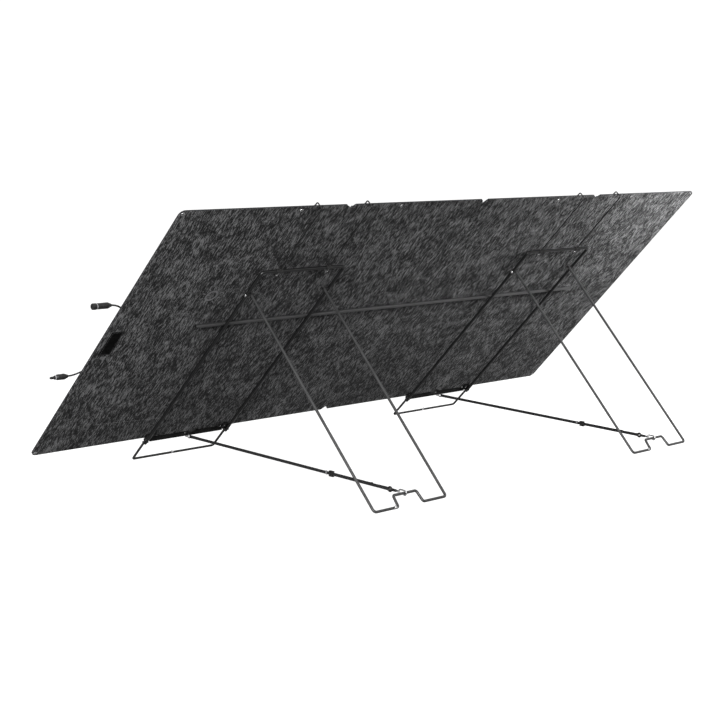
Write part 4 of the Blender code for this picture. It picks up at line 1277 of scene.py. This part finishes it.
def makeTray(stand):
    s = traySettings
    half, wall, under = stand.half - s["short"], s["wall"], s["under"]
    front, back, lip = s["front"], s["back"], s["lip"] - s["under"]
    profile = [
        (front, lip, 0.8 * mm), (front, -under, 1.6 * mm), (back, -under, 0.8 * mm),
        (back, wall - under, 0.8 * mm), (front + wall, wall - under, 0.6 * mm), (front + wall, lip, 0.8 * mm),
    ]
    turn = place(axes(outBack, upSlope), spot(stand.centre, 0))
    channel = plateMesh("channel", softOutline(profile, 3), -half, half, turn, 0.25 * mm)
    hole = turnedMesh("hole", s["hole"], aimed(stand.at(0, *s["holeAt"]), upSlope, along), 24)
    parts = [cutMesh(channel, hole)]
    inner, outer = s["bracketOut"]
    turn = place(backTurn, spot(stand.centre, 0))
    for side in (-1, 1):
        near, far = sorted(side * (stand.half + reach) for reach in s["bracket"])
        ends = (near, -under, inner), (far, s["bracketHeight"] - under, outer)
        parts.append(slabMesh("bracket", *ends, turn, 1.4 * mm, 3))
    makePiece(f"{stand.side}Tray", joinedMesh("tray", parts), tubeCoat, stand.body, [f"{stand.side}_tray"])
    aside, inset = s["screwInset"]
    shape = turnedMesh("screw", s["screw"], steps=16)
    points = [stand.at(side * (stand.half - aside), under - inset, outer) for side in (-1, 1)]
    screws = copiesMesh("screws", shape, points, [outBack] * 2, [along] * 2, steel)
    makePiece(f"{stand.side}TrayScrews", screws, steel, stand.body)
    eye = standSettings["eye"]
    ring = [stand.strapTurn @ p for p in ringPoints(eye, 150, 300, 22)]
    tail = [stand.at(0, *p) for p in s["hookRoute"]]
    nudge = stand.strapTurn @ (ringPoints(eye, 450, 0, 1)[0] * 1.05)
    path = ring + bent([ring[-1], nudge, *tail], 2 * mm, 5)[1:]
    mesh = tubeMesh("hook", path, standSettings["wire"], steel, 14)
    makePiece(f"{stand.side}TrayHook", mesh, steel, stand.body, [f"{stand.side}_tray_hook"])


# Two hooks hang on the top bar and reach over the panel's upper edge.
hookShapes = {
    "sleeve": (
        (4.9, 11.0), (4.9, -11.0), (7.0, -11.0), (7.6, -10.4), (7.6, -7.6), (7.1, -7.0), (6.9, -6.4),
        (6.9, 6.4), (7.1, 7.0), (7.6, 7.6), (7.6, 10.4), (7.0, 11.0), (4.9, 11.0),
    ),
    "boss": ((0, 5.0), (2.6, 5.0), (3.4, 4.2), (3.9, 0), (0, 0)),
    "bossAt": 5.8 * mm,
    "tip": ((0, 1.6), (1.4, 1.5), (2.4, 0.9), (2.8, 0), (2.8, -6.0), (2.4, -6.5), (0, -6.5)),
    "spring": (  # along, down and out from the bar, in mm
        (-5, 6.6, 0), (-5, 12, 1), (-4.2, 16, 1.5), (-2, 18.6, 1.5), (2, 18.6, 1.5), (4.2, 16, 1.5),
        (5, 12, 1), (5, 6.6, 0),
    ),
}


def makeTopHooks(stand):
    s = standSettings
    top, out, body = stand.top, stand.out, stand.body
    for label, side in zip(sides, (-1, 1)):
        x, end = side * s["hookSpacing"] / 2, label.capitalize()
        barrel = turnedMesh("sleeve", hookShapes["sleeve"], aimed(stand.at(x, top, out), along, outBack), 36)
        turn = aimed(stand.at(x, top - hookShapes["bossAt"], out), upSlope, along)
        sleeve = joinedMesh("sleeve", [barrel, turnedMesh("boss", hookShapes["boss"], turn, 24)])
        makePiece(f"{stand.side}HookSleeve{end}", sleeve, rubber, body, [f"{stand.side}_hook_sleeve_{label}"])
        spring = [stand.at(x + a * mm, top + b * mm, out + c * mm) for a, b, c in hookShapes["spring"]]
        loop = tubeMesh("spring", curved(spring, 1.2 * mm), 0.8 * mm, steel, 10)
        makePiece(f"{stand.side}HookSpring{end}", loop, steel, body)
        over, front = s["hookOver"], s["hookFront"]
        route = [(top - 7 * mm, out), (over, out), (over, front), (s["hookTip"], front)]
        path = bent([stand.at(x, *p) for p in route], 5 * mm, 8)
        rod = tubeMesh("hook", path, s["hookRadius"], tubeCoat, 16)
        name = f"{stand.side}TopHook{end}"
        makePiece(name, rod, tubeCoat, body, [f"{stand.side}_top_hook_{label}"])
        cap = turnedMesh("tip", hookShapes["tip"], aimed(path[-1], -upSlope, along), 20)
        makePiece(name + "Tip", cap, rubber, body)


# Places on the strap are (across its face in mm, along it in m).
strapSettings = {
    "thickness": 1.3 * mm,
    "lowerLoop": ((0.75, 0.046), (0.75, 0.030), (1.0, 0.016), (1.9, 0.0085), (2.2, 0.0062)),
    "upperLoop": ((-2.2, 0.0062), (-1.9, 0.0085), (-1.0, 0.016), (-0.75, 0.030)),
    "loopRadius": (2.2, 2.2 * mm, 5.5 * mm),  # across, along, and its centre's place
    "toSlider": ((-0.85, 0.69), (-0.9, 0.75), (-0.9, 0.82), (-0.8, 0.848)),
    "freeEnd": (
        (1.0, 0.660), (0.9, 0.675), (0.75, 0.69), (0.75, 0.72), (0.75, 0.76), (0.78, 0.80), (0.95, 0.824),
        (1.9, 0.833), (3.9, 0.839), (5.0, 0.837), (4.6, 0.8325), (3.4, 0.8295),
    ),
    "stitched": (0.0185, 0.043),  # from each end
    "edge": 0.36,  # of the width, from the middle to a seam
    "face": 1.45 * mm,
    "freeSeam": (0.705, 0.822),
    "rail": (7.0 * mm, Vector((4.4 * mm, 9 * mm, 1.7 * mm))),  # aside, and half its size
    "bars": ((-6.2, 2.1), (-6.2, -2.1), (0, 2.6), (6.2, 2.1), (6.2, -2.1)),
    "bar": Vector((1.3 * mm, 1.6 * mm, 6.6 * mm)),  # half its size
    "keeper": ((-2.0 * mm, 0.645, -6.2 * mm), (2.0 * mm, 0.650, 6.2 * mm)),
}


def makeStrap(stand):
    s = strapSettings
    long, width, slider = [standSettings[key] for key in ("strapLength", "strapWidth", "sliderAt")]
    turn, thick = stand.strapTurn, s["thickness"]
    across = turn.to_3x3() @ Vector((0, 0, 1))

    def line(points):
        return [turn @ Vector((t * mm, at, 0)) for t, at in points]

    wide, tall, centre = s["loopRadius"]
    angles = [math.radians(20 * i) for i in range(1, 9)]
    bend = [(wide * math.cos(a), centre - tall * math.sin(a)) for a in angles]
    loop = [*s["lowerLoop"], *bend, *s["upperLoop"]]
    run = [(-0.75, 0.05 + 0.02 * i) for i in range(31)] + list(s["toSlider"])
    upper = [(t, long - at) for t, at in reversed(loop)]
    body = ribbonMesh("strap", line(loop + run + upper), across, width, thick)
    free = ribbonMesh("free", line(s["freeEnd"]), across, width, thick)
    stitches, reach, face = [], s["edge"] * width, s["face"]
    near, far = s["stitched"]
    for at in (near, far, long - far, long - near):
        for shift in (0.0, 1.6 * mm):
            ends = [turn @ Vector((face, at + shift, z)) for z in (-reach, reach)]
            stitches.append(stitchMesh("stitch", ends, along, darkThread, 1.9 * mm, 1.7 * mm, 0.25 * mm))
    for z in (-reach, reach):
        ends = [turn @ Vector((face, at, z)) for at in s["freeSeam"]]
        stitches.append(stitchMesh("stitch", ends, along, darkThread, 3.6 * mm, 2.6 * mm, 0.3 * mm))
    aside, size = s["rail"]
    frame = []
    for side in (-1, 1):
        middle = Vector((0, slider, side * aside))
        frame.append(slabMesh("rail", middle - size, middle + size, turn, 1.1 * mm, 3))
    for at, rise in s["bars"]:
        middle = Vector((rise * mm, slider + at * mm, 0))
        frame.append(slabMesh("bar", middle - s["bar"], middle + s["bar"], turn, 0.6 * mm, 2))
    # The keeper's grey is a painted highlight on a black plastic loop.
    keeper = slabMesh("keeper", *s["keeper"], turn, 0.8 * mm, 3)
    for name, mesh, finish, stood in (
        ("Strap", body, webbing, [f"{stand.side}_strap"]),
        ("StrapEnd", free, webbing, []),
        ("StrapStitches", joinedMesh("stitches", stitches), darkThread, []),
        ("Slider", joinedMesh("slider", frame), plastic, [f"{stand.side}_slider"]),
        ("Keeper", keeper, sealGreyAndKeeperHighlight, []),
    ):
        piece = makePiece(stand.side + name, mesh, finish, None, stood)
        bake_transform(piece)


# The snap hook swivels on the jog of the leg's bar; its gate is sprung.
snapShapes = {
    "barrel": (
        (0, 7), (2.6, 7), (3.9, 6.2), (4.1, 5.6), (4.1, 3.2), (3.3, 2.8), (3.3, 2.0), (4.1, 1.6), (4.3, -7.4),
        (3.4, -9.4), (0, -9.6),
    ),
    "barrelAt": -39.5 * mm,
    "shank": ((0, 8.6), (1.8, 8.6), (3.0, 6.6), (3.3, 4.0), (3.3, -1.0), (2.6, -2.0), (2.6, -5), (0, -5)),
    "shankAt": -27.5 * mm,
    "rivet": ((0, 2.2), (0.9, 2.2), (1.3, 1.8), (1.3, -1.8), (0.9, -2.2), (0, -2.2)),
    "clearance": 1.1 * mm,  # between the bowl and the bar
    "ringExtra": 1.4 * mm,
    "stemEnd": -24.0 * mm,
    "spineStart": -19.0 * mm,
    "gatePivot": -20.5 * mm,
    "gateTip": -6.4 * mm,
    "gateRadius": 1.3 * mm,
}


def makeSnapHook(stand):
    s, shapes, turn = standSettings, snapShapes, stand.hookTurn
    reach, wire, body, side = s["swivelReach"], s["wire"], f"{stand.side}_leg", stand.side
    bowl = s["legRadius"] + wire + shapes["clearance"]
    ring = [p - Vector((0, reach, 0)) for p in ringPoints(s["eye"], 25, 315, 24)]
    stem = [Vector((0, -reach + s["eye"] + 2 * mm, 0)), Vector((0, shapes["stemEnd"], 0))]
    spine = [Vector((0, shapes["spineStart"], -bowl)), Vector((0, 0, -bowl))]
    path = bent([ring[-1], *stem, *spine], 4 * mm, 5)[2:-1] + ringPoints(bowl, -90, 205, 18)
    closed = [turn @ p for p in ring + ring[:1]]
    swivelRing = tubeMesh("ring", closed, wire + shapes["ringExtra"], plastic, 14)
    hook = tubeMesh("hook", [turn @ p for p in path], wire, steel, 14)
    turned = {}
    for label, steps in (("barrel", 28), ("shank", 20)):
        middle = turn @ aimed(Vector((0, shapes[label + "At"], 0)), (0, 1, 0), (1, 0, 0))
        turned[label] = turnedMesh(label, shapes[label], middle, steps)
    snap = joinedMesh("snap", [hook, turned["shank"]])
    makePiece(f"{side}SnapHook", snap, steel, body, [f"{side}_jog_hook"])
    makePiece(f"{side}Swivel", joinedMesh("swivel", [swivelRing, turned["barrel"]]), plastic, body)
    pivot = Vector((0, shapes["gatePivot"], bowl * 0.72))
    tip = Vector((0, shapes["gateTip"], bowl - 0.8 * mm)) - pivot
    bar = [turn @ (pivot + tip * share) for share in (-0.1, 0.3, 0.7, 1.0)]
    gate = tubeMesh("gate", bar, shapes["gateRadius"], steel, 12)
    rivet = turnedMesh("rivet", shapes["rivet"], turn @ aimed(pivot, (1, 0, 0), (0, 1, 0)), 16)
    makePiece(f"{side}Gate", joinedMesh("gate", [gate, rivet]), steel, f"{side}_gate", [f"{side}_hook_gate"])


# A sprung clip of sheet metal round a bar, with a spur that points away from it.
clipSettings = {
    "gap": 0.5 * mm,
    "width": 9 * mm,
    "thickness": 1.1 * mm,
    "spurRadius": 0.9 * mm,
    "spurRise": 0.8 * mm,
}


def makeClip(stand, node, body, radius):
    s = clipSettings
    places = [v.co for v in nodes[node].data.vertices]
    x = sum(p.x for p in places) / len(places)
    if "leg" in node:
        centre = stand.legTurn @ Vector((0, standSettings["legLength"], 0))
    else:
        centre = stand.at(0, *standSettings["footEnd"])
    centre.x = x
    outer = radius + coatThickness + s["gap"]
    tip = max(places, key=lambda p: (Vector((0, p.y, p.z)) - Vector((0, centre.y, centre.z))).length)
    tip = Vector((x, tip.y, tip.z))
    spur = (tip - centre).normalized()
    side = along.cross(spur)
    turns = [math.radians(-30 + 15 * i) for i in range(16)]
    arc = [centre + (spur * math.cos(a) + side * math.sin(a)) * outer for a in turns]
    band = ribbonMesh("band", arc, along, s["width"], s["thickness"])
    wire = [arc[0], arc[0].lerp(tip, 0.35) + spur * s["spurRise"], arc[0].lerp(tip, 0.75), tip]
    hookEnd = tubeMesh("spur", curved(wire, 1 * mm), s["spurRadius"], steel, 10)
    name = stand.side + ("LegClip" if "leg" in node else "FootClip")
    makePiece(name, joinedMesh("clip", [band, hookEnd]), steel, body, [node])


for side in sides:
    stand = Stand(side)
    for make in (makeFrame, makeLeg, makeFoot, makePins, makeTray, makeTopHooks, makeStrap, makeSnapHook):
        make(stand)
    for part in ("leg", "foot"):
        makeClip(stand, f"{side}_{part}_clip", f"{side}_{part}", standSettings[part + "Radius"])
print("stands")


# floor and light
studioSettings = {
    "world": 0.34,
    "backdrop": 1.1,
    "reflected": 0.95,
    "floorHalf": 90,
    "floor": {
        "Base Color": (0.36, 0.36, 0.36, 1), "Roughness": 0.9, "Specular IOR Level": 0.1,
        "Emission Color": (1, 1, 1, 1),
    },
    "floorGlow": 0.90,  # seen by the camera alone
    "lamps": {  # power, size, place, aim on the panel
        "key": (170, 3.0, Vector((-3.2, 2.6, 4.2)), (1.2, 0.5)),
        "fill": (290, 1.8, Vector((-4.6, -3.2, 2.0)), (0.9, 0.3)),
        "rightLamp": (27, 0.5, Vector((1.3, -0.85, 0.95)), (2.36, 0.0)),
    },
}


def makeFloor():
    half = studioSettings["floorHalf"]
    corners = [(-half, -half, 0), (half, -half, 0), (half, half, 0), (-half, half, 0)]
    mesh = bpy.data.meshes.new("floor")
    mesh.from_pydata(corners, [], [(0, 1, 2, 3)])
    floor = bpy.data.objects.new("floor", mesh)
    bpy.context.scene.collection.objects.link(floor)
    pale = bpy.data.materials.new("paleFloor")
    pale.use_nodes = True
    tree = pale.node_tree
    shader = tree.nodes["Principled BSDF"].inputs
    for key, value in studioSettings["floor"].items():
        shader[key].default_value = value
    seen = addNode(tree, "ShaderNodeLightPath").outputs["Is Camera Ray"]
    glow = mathNode(tree, "MULTIPLY", seen, studioSettings["floorGlow"])
    tree.links.new(glow, shader["Emission Strength"])
    mesh.materials.append(pale)


def makeWorld():
    world = bpy.context.scene.world or bpy.data.worlds.new("studio")
    bpy.context.scene.world = world
    world.use_nodes = True
    tree = world.node_tree
    background = tree.nodes.get("Background") or tree.nodes.new("ShaderNodeBackground")
    background.inputs["Color"].default_value = (1, 1, 1, 1)
    rays = addNode(tree, "ShaderNodeLightPath").outputs
    ends = studioSettings["world"], studioSettings["reflected"]
    strength = fitted(tree, rays["Is Glossy Ray"], 0.0, 1.0, *ends)
    backdrop = mathNode(tree, "MULTIPLY", rays["Is Camera Ray"], studioSettings["backdrop"])
    strength = mathNode(tree, "MAXIMUM", strength, backdrop)
    tree.links.new(strength, background.inputs["Strength"])


# The fill lamp alone shows in reflections.
def makeLamps():
    for name, (power, size, where, aim) in studioSettings["lamps"].items():
        light = bpy.data.lights.new(name, "AREA")
        light.energy, light.size, light.shape = power, size, "DISK"
        lamp = bpy.data.objects.new(name, light)
        lamp.visible_camera = False
        lamp.visible_glossy = name == "fill"
        bpy.context.scene.collection.objects.link(lamp)
        lamp.matrix_world = place((spot(*aim) - where).to_track_quat("-Z", "Y").to_matrix(), where)


makeFloor()
makeWorld()
makeLamps()
bpy.context.scene.view_settings.view_transform = "Standard"
print("studio")
